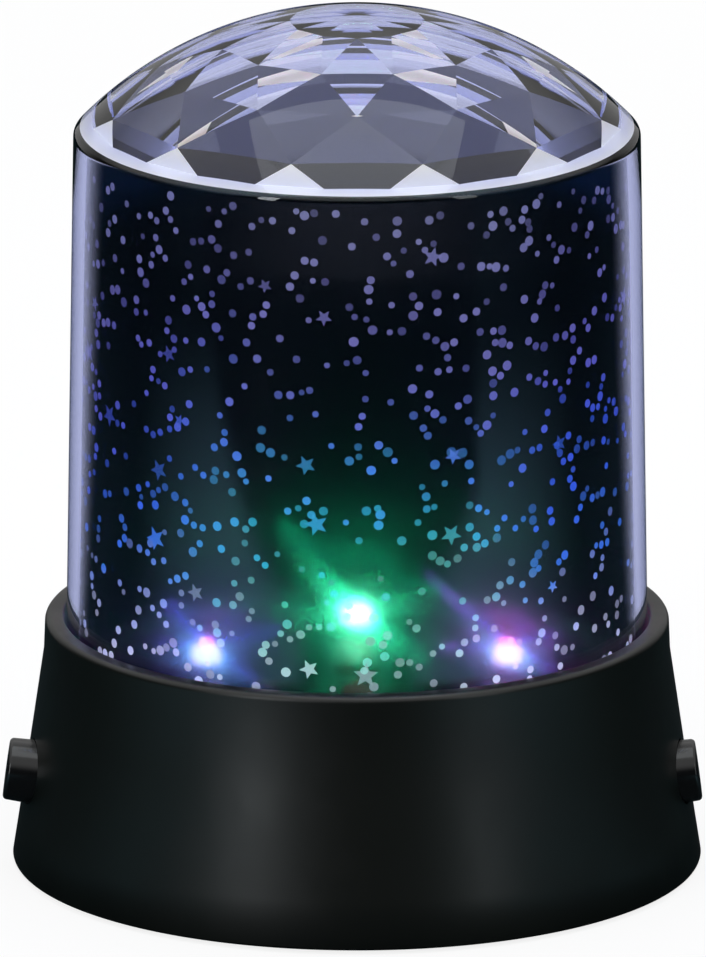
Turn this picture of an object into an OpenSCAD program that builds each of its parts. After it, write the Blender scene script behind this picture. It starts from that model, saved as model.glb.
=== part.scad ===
// Star night light projector: a clear domed cover with a star film inside it stands on a
// turntable, and a small geared motor turns both over four coloured lamps in a black base.
// Millimetres, +Z up, front towards -Y, origin on the table under the middle of the base.

/* [Base] */
// Diameter of the base where its cone meets the table
base_d = 114.7; // [114:0.1:118]
// Height of the ring that the cover rises from
base_h = 42; // [41:0.5:44]
// How much the wall leans in for each millimetre of height
base_lean = 0.15; // [0.14:0.01:0.15]
// Height of the nearly upright band under the ring
band_h = 6; // [4:0.5:8]
// Thickness of the base wall
base_wall = 2.2; // [2:0.1:2.4]
// Height of the base above the table, on its rubber feet
table_gap = 0.6; // [0.4:0.1:0.8]

/* [Cover] */
// Outer diameter of the cover at the ring
cover_d = 96.3; // [95:0.1:96.4]
// Outer diameter of the cover under its dome
cover_top_d = 93.4; // [92:0.1:94]
// Height of the shoulder, where the dome begins
shoulder_z = 124.1; // [115:0.1:140]
// Rise of the dome over the shoulder
dome_rise = 20.1; // [19.5:0.1:21]
// Wall of the cover
cover_wall = 2; // [1.8:0.1:2.1]
// Rounding of the shoulder
shoulder_r = 1.5; // [1:0.1:2]
// Number of facets in each row inside the dome
facet_count = 12; // [8:1:16]

/* [Star film] */
// Gap between the film and the cover
film_gap = 0.12; // [0.1:0.01:0.15]
// Thickness of the film
film_t = 0.2; // [0.15:0.01:0.25]

/* [Drive] */
// Module of the gears
gear_module = 1; // [1:1:1]
// Teeth inside the turntable
ring_teeth = 84; // [84:1:84]
// Teeth of the motor's pinion
pinion_teeth = 12; // [12:1:12]
// Play between the flanks of the gears
backlash = 0.16; // [0.12:0.01:0.2]

/* [Lamps] */
// Diameter of the circle that the four lamps stand on
lamp_circle_d = 50; // [44:1:52]
// Diameter of a lamp
lamp_d = 4.8; // [4.5:0.1:5]
// Height of a lamp over its board
lamp_h = 4.8; // [4:0.1:5.4]

/* [Buttons] */
// Diameter of a button cap
button_d = 10.6; // [10:0.1:10.6]
// Height of a button's middle on the wall
button_z = 17; // [16.6:0.1:17.4]
// How far in front of the base's middle the buttons sit
button_forward = 8.4; // [7:0.1:9]
// How far the buttons' axes tilt up, in degrees
button_tilt = 8; // [7:0.5:8.5]
// How far the left cap stands out of the wall
left_out = 4; // [3.8:0.1:4.4]
// How far the right cap stands out of the wall, latched in
right_out = 2.5; // [2.4:0.1:2.6]

/* [Batteries] */
// Diameter of an AAA cell
cell_d = 10.5; // [10.5:0.1:10.5]
// Length of an AAA cell with its nub
cell_l = 44.5; // [44.5:0.1:44.5]
// Number of cells side by side
cell_count = 4; // [3:1:4]

/* [Hidden] */

$fn = 96;
fine = 192;
eps = 0.01;

// Colours of the materials
black = "#101315";
board_green = "#1d5c38";
steel = "#b9bec4";
ivory = "#e6e2d4";

// Screws: [shank radius, length, head radius, head height], and the holes they pass or grip
plate_screw = [1.25, 11, 2.7, 1.2];
carrier_screw = [1.15, 9, 2, 1.3];
deck_screw = [1, 5, 2, 1.3];
motor_screw = [0.9, 3.4, 1.8, 1.2];
lamp_screw = [0.9, 4, 1.8, 1.2];
board_screw = [0.9, 3.3, 1.8, 1.2];
cover_screw = [1.2, 5.2, 2.4, 0.7];
grip = 0.02;
pass = 0.25;
sink = 0.9;

// Base shell
edge_r = 1.1;
foot_edge = 0.6;
ring_inner_r = 48.6;
collar_z = 31.4;
function base_r(z) = base_d / 2 - base_lean * z;
band_z = base_h - band_h;
ring_outer_r = base_r(band_z) - 0.2;

// Bottom plate and what stands on it
plate_t = 2.4;
plate_top = table_gap + plate_t;
plate_r = base_r(table_gap) - base_wall - 0.55;
boss_circle_r = 49.5;
boss_angles = [45, 135, 225, 315];
boss_r = 3.6;
boss_top = 21.5;
post_circle_r = 36.5;
post_angles = [60, 120, 240, 300];
post_r = 3.2;
foot_r = 5;
foot_h = 1.2;
foot_circle_r = 46;
foot_angles = [0, 90, 180, 270];

// Battery compartment
cell_pitch = cell_d + 0.4;
cell_z = plate_top + 0.75 + cell_d / 2;
box_wall = 1.2;
box_x = cell_pitch * cell_count / 2 + 0.4;
box_y = cell_l / 2 + 2.45;
box_top = cell_z + cell_d / 2 + 0.15 + box_wall;
door_gap = 0.3;
door_x = box_x;
door_hinge_y = -(box_y - 1.7);
door_hinge_z = plate_top - 1.2;
door_hinge_r = 1.1;
door_pin_r = 0.6;
door_pin_l = 1.3;
door_back_y = box_y - 1.5;
door_z = table_gap + 0.4;
door_t = 1.6;
tab_x = 5;
tab_y = door_back_y + 9;
tab_t = 1.2;
door_screw_y = door_back_y + 6;
door_boss_r = 3.2;
grip_rib = 1;
grip_step = 2.4;
nub_l = 1;
nub_r = 1.9;
spring_l = 1.9;

// Carrier, drive and turntable
carrier_z = 23.6;
carrier_t = 1.6;
carrier_top = carrier_z + carrier_t;
carrier_r = 48;
track_h = 0.4;
track_r = 47.2;
turntable_z = carrier_top + 0.5;
turntable_floor = turntable_z + 3.3;
turntable_r = 50.1;
lip_top = collar_z - 0.4;
lip_inner_r = 48.8;
upstand_r = 45.6;
upstand_inner_r = 44.3;
upstand_top = 34;
lug_count = 3;
lug_angle = 10;
lug_r = 49.7;
ring_pitch_r = gear_module * ring_teeth / 2;
ring_tip_r = ring_pitch_r - 0.6 * gear_module;
pinion_pitch_r = gear_module * pinion_teeth / 2;
drive_y = -(ring_pitch_r - pinion_pitch_r);
motor_r = 7.5;
motor_z = plate_top + 1.4;
gearbox_r = 7.7;
gearbox_z = 14.6;
ear_x = 11;
ear_r = 2.4;
ear_t = 1.2;
shaft_r = 1.5;
shaft_z = 18.5;

// Cover and film
dome_r = (pow(cover_top_d / 2, 2) + pow(dome_rise, 2)) / (2 * dome_rise);
dome_cz = shoulder_z + dome_rise - dome_r;
fillet_x = cover_top_d / 2 - shoulder_r;
fillet_z = dome_cz + sqrt(pow(dome_r - shoulder_r, 2) - pow(fillet_x, 2));
fillet_end = atan2(fillet_z - dome_cz, fillet_x);
cover_slope = (cover_d - cover_top_d) / 2 / (shoulder_z - base_h);
function cover_r(z) = cover_d / 2 - cover_slope * (z - base_h);
function bore_r(z) = cover_r(z) - cover_wall;
girdle_z = shoulder_z - 0.1;
film_z = turntable_floor + 0.2;
film_top = girdle_z - 0.3;
// Lower edges of the main facets, on the ledge inside the dome: radius and half angle of their ends
table_r = 41.8;
table_half = 7.2;
// Rows of facet corners over them: radius, height over the girdle, turned half a facet
facet_rows = [[41, 4.2, 1], [32, 10, 0], [22.4, 14.2, 1], [11, 17.3, 0]];
facet_apex = 18.2;

// Lamps and their deck
deck_z = turntable_floor + 0.4;
deck_t = 1.4;
deck_top = deck_z + deck_t;
deck_r = upstand_inner_r - 0.3;
deck_post_circle_r = 33;
deck_post_angles = [45, 135, 225, 315];
deck_post_r = 3;
lamp_board_r = 29.5;
lamp_board_top = deck_top + 1.4;
lamp_screws = [[15, 15], [-15, -15]];
wire_hole_r = 4;
leg_x = 1.27;
leg_r = 0.25;

// Main board
board_z = box_top + 1.4;
board_t = 1.4;
board_top = board_z + board_t;
board_x = 23;
board_front = -22;
board_back = 26;
tongue_x = 8;
tongue_back = 50.5;
board_screw_at = [[19, -18], [-19, -18], [19, 22], [-19, 22]];
socket_w = 9;
socket_h = 3.2;
socket_l = 7.4;
socket_front = base_r(board_top) - 1.2;
socket_z = board_top + socket_h / 2;
port_gap = 0.6;

// Buttons and switches, measured along a button's axis from the wall's outer face
button_x = sqrt(pow(base_r(button_z), 2) - pow(button_forward, 2));
cap_back = -4.2;
cap_round = 0.7;
cap_taper = 0.15;
hole_play = 0.2;
ear_plate_t = 1.2;
ear_plate_r = 6.8;
ear_plate_h = 4.3;
stem_r = 2.6;
stem_back = -6.9;
plunger_r = 1.5;
plunger_back = -14;
plunger_front = -5;
switch_w = 9;
switch_front = -9.4;
switch_l = 9;
cradle_wall = 1.4;
cradle_top = 15.5;

wire_r = 0.5;

// ---------------------------------------------------------------- shared shapes

// Points of an arc in the (radius, height) plane
function arc(cx, cz, r, from, to, steps) =
    [for (i = [0:steps]) let (a = from + (to - from) * i / steps) [cx + r * cos(a), cz + r * sin(a)]];

module around(radius, angles) {
    for (a = angles) rotate([0, 0, a]) translate([radius, 0, 0]) children();
}

module at_points(points) {
    for (p = points) translate([p[0], p[1], 0]) children();
}

module tube(outer, inner, z, h) {
    translate([0, 0, z]) difference() {
        cylinder(h = h, r = outer, $fn = fine);
        translate([0, 0, -1]) cylinder(h = h + 2, r = inner, $fn = fine);
    }
}

module rod(r, z, top) {
    translate([0, 0, z]) cylinder(h = top - z, r = r);
}

module slab(x0, x1, y0, y1, z0, z1) {
    translate([x0, y0, z0]) cube([x1 - x0, y1 - y0, z1 - z0]);
}

// Pan-head screw pointing along -Z, its head's seat at z = 0, with a cross recess
module pan_screw(size) {
    shank_r = size[0];
    length = size[1];
    head_r = size[2];
    head_h = size[3];
    recess_w = head_r * 0.34;
    difference() {
        union() {
            rod(shank_r, -length, eps);
            rod(head_r, 0, head_h * 0.55);
            translate([0, 0, head_h * 0.55]) cylinder(h = head_h * 0.45, r1 = head_r, r2 = head_r * 0.78);
        }
        for (turn = [0, 90]) rotate([0, 0, turn])
            slab(-head_r * 0.6, head_r * 0.6, -recess_w / 2, recess_w / 2, head_h * 0.5, head_h + 1);
    }
}

// Insulated wire along straight runs with round bends
module wire(path, r = wire_r) {
    for (i = [1:len(path) - 1]) {
        step = path[i] - path[i - 1];
        translate(path[i - 1])
            rotate([0, acos(step[2] / norm(step)), atan2(step[1], step[0])])
                cylinder(h = norm(step), r = r, $fn = 24);
        if (i < len(path) - 1) translate(path[i]) sphere(r = r, $fn = 24);
    }
}

// Slot with round ends, along x, drawn flat
module stadium(w, h) {
    square([w - h, h], center = true);
    for (side = [-1, 1]) translate([side * (w - h) / 2, 0]) circle(d = h);
}

// ---------------------------------------------------------------- gears

function involute(a) = tan(a) * 180 / PI - a;
function base_circle_r(teeth) = gear_module * teeth / 2 * cos(20);
// Half the angle that a tooth takes at radius r, with its flanks moved in by thin
function half_tooth(r, teeth, thin) =
    90 / teeth + involute(20) - involute(acos(min(1, base_circle_r(teeth) / r)))
    - thin / (gear_module * teeth / 2) * 180 / PI;

// Outline of a toothed wheel from its root radius to its tip radius
function gear_outline(teeth, root, tip, thin, rows) = [
    for (i = [0:teeth - 1], side = [-1, 1], j = [0:rows])
        let (r = side < 0 ? root + (tip - root) * j / rows : tip - (tip - root) * j / rows,
             a = i * 360 / teeth + side * half_tooth(r, teeth, thin))
        [r * cos(a), r * sin(a)]
];

// ---------------------------------------------------------------- button frame

// Places children on a button's axis: +Z out of the wall, +X down the wall
module button_frame(side) {
    translate([side * button_x, -button_forward, button_z])
        rotate([0, 90 - button_tilt, side > 0 ? 0 : 180])
            children();
}

// ---------------------------------------------------------------- base

module base_section() {
    polygon(concat(
        [[base_r(table_gap) - base_wall, table_gap]],
        [[base_r(table_gap) - foot_edge, table_gap]],
        arc(base_r(table_gap) - foot_edge, table_gap + foot_edge, foot_edge, -60, 0, 3),
        [[base_r(band_z), band_z]],
        arc(ring_outer_r - edge_r, base_h - edge_r, edge_r, 0, 90, 6),
        [[ring_inner_r + 0.3, base_h], [ring_inner_r, base_h - 0.3]],
        [[ring_inner_r, collar_z], [base_r(collar_z) - base_wall, collar_z]]
    ));
}

// Screw boss with a rib that ties it to the wall
module shell_boss() {
    rod(boss_r, plate_top + 0.1, boss_top);
    slab(0, 6, -1.2, 1.2, plate_top + 0.1, boss_top);
}

module base_shell() {
    color(black) difference() {
        union() {
            rotate_extrude($fn = fine) base_section();
            intersection() {
                around(boss_circle_r, boss_angles) shell_boss();
                cylinder(h = base_h, r1 = base_r(0) - 1, r2 = base_r(base_h) - 1, $fn = fine);
            }
        }
        around(boss_circle_r, boss_angles)
            rod(plate_screw[0] + grip, plate_top - 1, plate_top + plate_screw[1] + 1);
        for (side = [-1, 1]) button_frame(side) rod(button_d / 2 + hole_play, -8, 4);
        translate([0, socket_front - 4, socket_z]) rotate([-90, 0, 0])
            linear_extrude(height = 9) stadium(socket_w + 2 * port_gap, socket_h + 2 * port_gap);
    }
}

// Cradle that holds a switch from below and on both sides
module switch_cradle(side) {
    half = switch_w / 2 + cradle_wall;
    difference() {
        translate([0, -button_forward, 0]) rotate([0, 0, side > 0 ? 0 : 180])
            slab(button_x + switch_front - switch_l, button_x + switch_front - 0.6,
                 -half, half, plate_top - eps, cradle_top);
        button_frame(side) translate([-12, -switch_w / 2 - 0.05, switch_front - switch_l - 3])
            cube([12 + switch_w / 2 + 0.05, switch_w + 0.1, switch_l + 6]);
    }
}

module bottom_plate() {
    color(black) difference() {
        union() {
            translate([0, 0, table_gap]) cylinder(h = plate_t, r = plate_r, $fn = fine);
            around(post_circle_r, post_angles) rod(post_r, plate_top - eps, carrier_z);
            for (side = [-1, 1]) switch_cradle(side);
            translate([0, door_screw_y, 0]) rod(door_boss_r, plate_top - eps, plate_top + 5);
        }
        slab(-door_x - door_gap, door_x + door_gap, door_hinge_y - door_hinge_r - 0.4,
             door_back_y + door_gap, -1, plate_top + 1);
        translate([0, door_hinge_y, door_hinge_z]) rotate([0, 90, 0])
            cylinder(h = 2 * (door_x + door_gap + door_pin_l + 0.2), r = door_pin_r + 0.05, center = true);
        slab(-tab_x - 0.4, tab_x + 0.4, door_back_y, tab_y + 0.4, -1, door_z + tab_t + 0.2);
        translate([0, door_screw_y, 0]) rod(cover_screw[0] + 0.6, 0, plate_top + 6);
        around(post_circle_r, post_angles)
            rod(carrier_screw[0] + grip, carrier_top - carrier_screw[1] - 1.6, carrier_z + 1);
        around(boss_circle_r, boss_angles) {
            rod(plate_screw[2] + 0.3, 0, plate_top - sink);
            rod(plate_screw[0] + pass, 0, plate_top + 1);
        }
        around(foot_circle_r, foot_angles) rod(foot_r + 0.1, 0, foot_h);
    }
}

module feet() {
    color("#24262a") around(foot_circle_r, foot_angles) {
        cylinder(h = 0.3, r1 = foot_r - 0.3, r2 = foot_r);
        rod(foot_r, 0.3, foot_h);
    }
}

module bottom_screws() {
    color(steel) around(boss_circle_r, boss_angles)
        translate([0, 0, plate_top - sink - grip]) rotate([180, 0, 0]) pan_screw(plate_screw);
}

// ---------------------------------------------------------------- batteries

module battery_box() {
    color("#1b1e21") difference() {
        union() {
            slab(-box_x - box_wall, box_x + box_wall, -box_y - box_wall, box_y + box_wall,
                 plate_top, box_top);
            at_points(board_screw_at) rod(2.6, box_top - eps, board_z);
        }
        slab(-box_x, box_x, -box_y, box_y, plate_top - 1, box_top - box_wall);
        at_points(board_screw_at) rod(board_screw[0] + grip, box_top - 0.7, board_z + 1);
    }
}

module battery_door() {
    color(black) difference() {
        union() {
            slab(-door_x, door_x, door_hinge_y, door_back_y, door_z, door_z + door_t);
            translate([0, door_hinge_y, door_hinge_z]) rotate([0, 90, 0]) {
                cylinder(h = 2 * door_x, r = door_hinge_r, center = true);
                cylinder(h = 2 * (door_x + door_gap + door_pin_l), r = door_pin_r, center = true);
            }
            slab(-tab_x, tab_x, door_back_y - eps, tab_y, door_z, door_z + tab_t);
        }
        translate([0, door_screw_y, 0]) {
            rod(cover_screw[2] + 0.2, door_z - 1, door_z + 0.5);
            rod(cover_screw[0] + 0.1, door_z - 1, door_z + tab_t + 1);
        }
        for (i = [0:4])
            slab(-9, 9, 8 + i * grip_step, 8 + grip_rib + i * grip_step, door_z - 1, door_z + 0.3);
    }
}

module door_screw() {
    color(steel) translate([0, door_screw_y, door_z + 0.48]) rotate([180, 0, 0])
        pan_screw(cover_screw);
}

// Children on each cell's axis, +Z towards its nub; the ends alternate
module each_cell() {
    for (i = [0:cell_count - 1])
        translate([(i - (cell_count - 1) / 2) * cell_pitch, 0, cell_z])
            rotate([i % 2 == 0 ? -90 : 90, 0, 0]) children();
}

module aaa_cells() {
    color("#3d6f8f") each_cell() {
        rod(cell_d / 2, -cell_l / 2, cell_l / 2 - nub_l);
        rod(nub_r, cell_l / 2 - nub_l - eps, cell_l / 2);
    }
}

// Round wire of a coil that narrows towards the cell
module conical_spring(coils, wide_r, narrow_r, length, thick) {
    sides = 5;
    steps = coils * 12;
    rings = [for (i = [0:steps]) let (
            t = i / steps, a = t * coils * 360, r = wide_r + (narrow_r - wide_r) * t)
        [for (k = [0:sides - 1]) let (b = k * 360 / sides, q = r + thick * cos(b))
            [q * cos(a), q * sin(a), t * length + thick * sin(b)]]];
    walls = [for (i = [0:steps - 1], k = [0:sides - 1]) let (n = (k + 1) % sides)
        [i * sides + k, (i + 1) * sides + k, (i + 1) * sides + n, i * sides + n]];
    start = [[for (k = [0:sides - 1]) k]];
    finish = [[for (k = [0:sides - 1]) steps * sides + sides - 1 - k]];
    polyhedron(points = [for (ring = rings) each ring], faces = concat(walls, start, finish));
}

module contact_springs() {
    thick = 0.3;
    color(steel) each_cell() translate([0, 0, -cell_l / 2 - spring_l])
        conical_spring(2.5, 3.4, 2.2, spring_l - thick - 0.05, thick);
}

module contact_plates() {
    half = 4.4;
    color(steel) each_cell() {
        slab(-half, half, -half, half, -cell_l / 2 - spring_l - 0.4 - 0.05, -cell_l / 2 - spring_l - 0.35);
        slab(-half, half, -half, half, cell_l / 2 + 0.02, cell_l / 2 + 0.42);
    }
}

// ---------------------------------------------------------------- carrier and drive

module carrier() {
    color("#2b2e32") difference() {
        union() {
            translate([0, 0, carrier_z]) cylinder(h = carrier_t, r = carrier_r, $fn = fine);
            tube(track_r, track_r - 1.6, carrier_top - eps, track_h + eps);
            around(deck_post_circle_r, deck_post_angles) rod(deck_post_r, carrier_top - eps, deck_z);
        }
        around(deck_post_circle_r, deck_post_angles)
            rod(deck_screw[0] + grip, carrier_z + 0.6, deck_z + 1);
        around(post_circle_r, post_angles)
            rod(carrier_screw[0] + pass, carrier_z - 1, carrier_top + 1);
        translate([0, drive_y, 0]) rod(shaft_r + 1, carrier_z - 1, carrier_top + 1);
        for (side = [-1, 1]) translate([side * ear_x, drive_y, 0])
            rod(motor_screw[0] + 0.3, carrier_z - 1, carrier_top + 1);
        rod(wire_hole_r + 1, carrier_z - 1, carrier_top + 1);
    }
}

module carrier_screws() {
    color(steel) around(post_circle_r, post_angles)
        translate([0, 0, carrier_top]) pan_screw(carrier_screw);
}

module motor_can() {
    color("#c4c8cc") translate([0, drive_y, 0]) {
        rod(motor_r, motor_z, gearbox_z);
        rod(2.6, motor_z - 0.6, motor_z + eps);
    }
}

module gearbox_case() {
    color("#e9e7e0") translate([0, drive_y, 0]) difference() {
        union() {
            rod(gearbox_r, gearbox_z, carrier_z);
            for (side = [-1, 1]) translate([side * ear_x, 0, 0]) rod(ear_r, carrier_z - ear_t, carrier_z);
            slab(-ear_x, ear_x, -ear_r, ear_r, carrier_z - ear_t, carrier_z);
        }
        rod(shaft_r + 0.05, shaft_z - 0.5, carrier_z + 1);
        for (side = [-1, 1]) translate([side * ear_x, 0, 0])
            rod(motor_screw[0] + grip, carrier_z - ear_t - 1, carrier_z + 1);
    }
}

module motor_screws() {
    color(steel) for (side = [-1, 1])
        translate([side * ear_x, drive_y, carrier_top]) pan_screw(motor_screw);
}

module output_shaft() {
    color(steel) translate([0, drive_y, 0]) rod(shaft_r, shaft_z, turntable_floor - 0.05);
}

module pinion() {
    color(ivory) translate([0, drive_y, turntable_z - 0.1]) difference() {
        linear_extrude(height = turntable_floor - turntable_z)
            rotate([0, 0, -90]) polygon(gear_outline(pinion_teeth, pinion_pitch_r - 1.25 * gear_module,
                                pinion_pitch_r + gear_module, backlash / 4, 4));
        translate([0, 0, -1]) cylinder(h = 8, r = shaft_r + 0.01);
    }
}

// Outline of the spaces between the inner teeth: a toothed wheel that is cut out of the ring
module ring_cut() {
    rotate([0, 0, -90])
        polygon(gear_outline(ring_teeth, ring_tip_r, ring_pitch_r + 1.25 * gear_module, -backlash / 4, 3));
}

module turntable() {
    color("#2b2e32") difference() {
        union() {
            translate([0, 0, turntable_z])
                cylinder(h = turntable_floor - turntable_z, r = turntable_r, $fn = fine);
            tube(turntable_r, lip_inner_r, turntable_floor - eps, lip_top - turntable_floor + eps);
            tube(upstand_r, upstand_inner_r, turntable_floor - eps, upstand_top - turntable_floor + eps);
        }
        translate([0, 0, turntable_z - 1]) linear_extrude(height = 5.5) ring_cut();
        for (i = [0:lug_count - 1]) rotate([0, 0, i * 360 / lug_count])
            lug_sector(turntable_r + 1, lip_inner_r - 0.3, lug_angle + 0.5, turntable_floor, lip_top + 1);
    }
}

// ---------------------------------------------------------------- cover and film

// Piece of a ring, centred on +X, of a given half angle
module lug_sector(outer, inner, half_angle, z, top) {
    translate([0, 0, z]) linear_extrude(height = top - z) polygon(concat(
        [for (i = [0:4]) let (a = -half_angle + i * half_angle / 2) [outer * cos(a), outer * sin(a)]],
        [for (i = [4:-1:0]) let (a = -half_angle + i * half_angle / 2) [inner * cos(a), inner * sin(a)]]
    ));
}

// Hollow under the facets: main facets on the ledge, then rows of corners joined by flat triangles
module facet_hollow() {
    n = facet_count;
    rows = len(facet_rows);
    function foot(i, z) = let (a = floor(i / 2) * 360 / n + (i % 2 * 2 - 1) * table_half)
        [table_r * cos(a), table_r * sin(a), z];
    function corner(row, i) = let (a = (i + row[2] / 2) * 360 / n)
        [row[0] * cos(a), row[0] * sin(a), girdle_z + row[1]];
    points = concat(
        [for (z = [girdle_z - 2, girdle_z], i = [0:2 * n - 1]) foot(i, z)],
        [for (row = facet_rows, i = [0:n - 1]) corner(row, i)],
        [[0, 0, girdle_z + facet_apex]]
    );
    function low(i) = i % (2 * n);
    function high(i) = 2 * n + low(i);
    function at(row, i) = (4 + row) * n + i % n;
    walls = [for (i = [0:2 * n - 1]) each
        [[low(i), high(i), low(i + 1)], [low(i + 1), high(i), high(i + 1)]]];
    mains = [for (i = [0:n - 1]) each
        [[high(2 * i), at(0, i + n - 1), high(2 * i + 1)], [high(2 * i + 1), at(0, i + n - 1), at(0, i)],
         [high(2 * i + 1), at(0, i), high(2 * i + 2)]]];
    bands = [for (row = [0:rows - 2], i = [0:n - 1])
        each facet_rows[row + 1][2] > facet_rows[row][2]
            ? [[at(row, i), at(row + 1, i), at(row, i + 1)],
               [at(row, i + 1), at(row + 1, i), at(row + 1, i + 1)]]
            : [[at(row, i), at(row + 1, i), at(row + 1, i + 1)],
               [at(row, i), at(row + 1, i + 1), at(row, i + 1)]]];
    cap = [for (i = [0:n - 1]) [at(rows - 1, i), (rows + 4) * n, at(rows - 1, i + 1)]];
    polyhedron(points = points, faces = concat([[for (i = [0:2 * n - 1]) i]], walls, mains, bands, cap));
}

module clear_cover() {
    color("#b9c2ea", 0.45) difference() {
        union() {
            rotate_extrude($fn = fine) polygon(concat(
                [[0, turntable_floor], [cover_r(turntable_floor), turntable_floor]],
                arc(fillet_x, fillet_z, shoulder_r, 0, fillet_end, 4),
                arc(0, dome_cz, dome_r, fillet_end, 90, 18)
            ));
            for (i = [0:lug_count - 1]) rotate([0, 0, i * 360 / lug_count])
                lug_sector(lug_r, 47.5, lug_angle, turntable_floor, lip_top - 0.1);
        }
        translate([0, 0, turntable_floor - 1])
            cylinder(h = girdle_z - turntable_floor + 1, r1 = bore_r(turntable_floor - 1),
                     r2 = bore_r(girdle_z), $fn = fine);
        facet_hollow();
    }
}

module star_film() {
    h = film_top - film_z;
    color("#0b1220") translate([0, 0, film_z]) difference() {
        cylinder(h = h, r1 = bore_r(film_z) - film_gap, r2 = bore_r(film_top) - film_gap, $fn = fine);
        translate([0, 0, -eps]) cylinder(h = h + 2 * eps, r1 = bore_r(film_z) - film_gap - film_t,
                                       r2 = bore_r(film_top) - film_gap - film_t, $fn = fine);
    }
}

// ---------------------------------------------------------------- lamps

module light_deck() {
    color("#d9dbe0") difference() {
        union() {
            translate([0, 0, deck_z]) cylinder(h = deck_t, r = deck_r, $fn = fine);
            at_points(lamp_screws) rod(2.6, deck_z - 2.4, deck_z + eps);
        }
        around(deck_post_circle_r, deck_post_angles) rod(deck_screw[0] + 0.3, deck_z - 1, deck_top + 1);
        at_points(lamp_screws) rod(lamp_screw[0] + grip, deck_z - 2, deck_top + 1);
        rod(wire_hole_r, deck_z - 1, deck_top + 1);
    }
}

module deck_screws() {
    color(steel) around(deck_post_circle_r, deck_post_angles)
        translate([0, 0, deck_top]) pan_screw(deck_screw);
}

module led_board() {
    color("#f1f1ec") difference() {
        translate([0, 0, deck_top]) cylinder(h = lamp_board_top - deck_top, r = lamp_board_r, $fn = fine);
        at_points(lamp_screws) rod(lamp_screw[0] + 0.2, deck_top - 1, lamp_board_top + 1);
        for (i = [0:3]) rotate([0, 0, i * 90]) translate([lamp_circle_d / 2, 0, 0])
            at_points([[0, -leg_x], [0, leg_x]]) rod(leg_r + 0.1, deck_top - 1, lamp_board_top + 1);
        rod(wire_hole_r, deck_top - 1, lamp_board_top + 1);
    }
}

module led_board_screws() {
    color(steel) translate([0, 0, lamp_board_top]) at_points(lamp_screws) pan_screw(lamp_screw);
}

// Wide-angle lamp: a flange, a short body with a low dome, and two legs through the board
module lamp(angle) {
    body_r = lamp_d / 2;
    dome_h = 1.1;
    flange_h = 0.8;
    sphere_r = (body_r * body_r + dome_h * dome_h) / (2 * dome_h);
    rotate([0, 0, angle]) translate([lamp_circle_d / 2, 0, lamp_board_top]) {
        cylinder(h = flange_h, r = body_r + 0.35);
        rod(body_r, flange_h - eps, lamp_h - dome_h);
        intersection() {
            rod(body_r, lamp_h - dome_h - eps, lamp_h + 1);
            translate([0, 0, lamp_h - sphere_r]) sphere(r = sphere_r);
        }
        for (side = [-1, 1]) translate([0, side * leg_x, 0]) rod(leg_r, -1.35, eps);
    }
}

module led_green() {
    color("#35e08a") lamp(90);
}

module led_blue() {
    color("#6a78ff") lamp(180);
}

module led_purple() {
    color("#b26cff") lamp(0);
}

module led_red() {
    color("#ff6a55") lamp(270);
}

// ---------------------------------------------------------------- main board

module main_board() {
    color(board_green) difference() {
        union() {
            slab(-board_x, board_x, board_front, board_back, board_z, board_top);
            slab(-tongue_x, tongue_x, board_back - eps, tongue_back, board_z, board_top);
        }
        at_points(board_screw_at) rod(board_screw[0] + 0.2, board_z - 1, board_top + 1);
    }
}

module board_screws() {
    color(steel) translate([0, 0, board_top]) at_points(board_screw_at) pan_screw(board_screw);
}

module control_chip() {
    body = [4.9, 3.9, 1.5];
    color("#17181a") translate([-11, -8, board_top]) {
        translate([-body[0] / 2, -body[1] / 2, 0.1]) cube(body);
        for (i = [-1.5:1.5], side = [-1, 1])
            slab(i * 1.27 - 0.2, i * 1.27 + 0.2, side > 0 ? body[1] / 2 - 0.2 : -body[1] / 2 - 1,
                 side > 0 ? body[1] / 2 + 1 : -body[1] / 2 + 0.2, 0.01, 0.26);
    }
}

module capacitor() {
    color("#26348c") translate([12, 12, board_top]) {
        rod(2.5, 0.3, 4.3);
        slab(-2.6, 2.6, -2.6, 2.6, 0.01, 0.31);
    }
}

module usb_socket() {
    lip = 0.3;
    color(steel) translate([0, socket_front - socket_l, socket_z]) rotate([-90, 0, 0]) {
        difference() {
            linear_extrude(height = socket_l) stadium(socket_w, socket_h);
            translate([0, 0, 1]) linear_extrude(height = socket_l)
                stadium(socket_w - 2 * lip, socket_h - 2 * lip);
        }
        translate([-3.3, -0.35, 1 - eps]) cube([6.6, 0.7, socket_l - 2]);
    }
}

// ---------------------------------------------------------------- buttons

module switch_body(side) {
    button_frame(side) difference() {
        translate([-switch_w / 2, -switch_w / 2, switch_front - switch_l])
            cube([switch_w, switch_w, switch_l]);
        rod(plunger_r + 0.2, switch_front - switch_l + 1.5, switch_front + 1);
    }
}

// Cap that narrows outwards, with a rounded rim, ears that keep it in the wall and a stem for the
// switch's plunger
module button_cap(side, out) {
    r = button_d / 2;
    in = out - left_out;
    button_frame(side) difference() {
        union() {
            rotate_extrude() polygon(concat(
                [[0, cap_back + in], [r, cap_back + in], [r, in]],
                arc(r - cap_taper - cap_round, out - cap_round, cap_round, 0, 90, 6),
                [[0, out]]
            ));
            intersection() {
                rod(ear_plate_r, cap_back + in - ear_plate_t, cap_back + in + eps);
                slab(-ear_plate_h, ear_plate_h, -20, 20, -20, 0);
            }
            rod(stem_r, stem_back + in, cap_back + in);
        }
        rod(plunger_r + 0.01, stem_back + in - 1, plunger_front + in);
    }
}

module plunger(side, out) {
    in = out - left_out;
    button_frame(side) rod(plunger_r, plunger_back + in, plunger_front + in - eps);
}

module switch_left() {
    color("#1a1c1f") switch_body(-1);
}

module switch_right() {
    color("#1a1c1f") switch_body(1);
}

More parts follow.
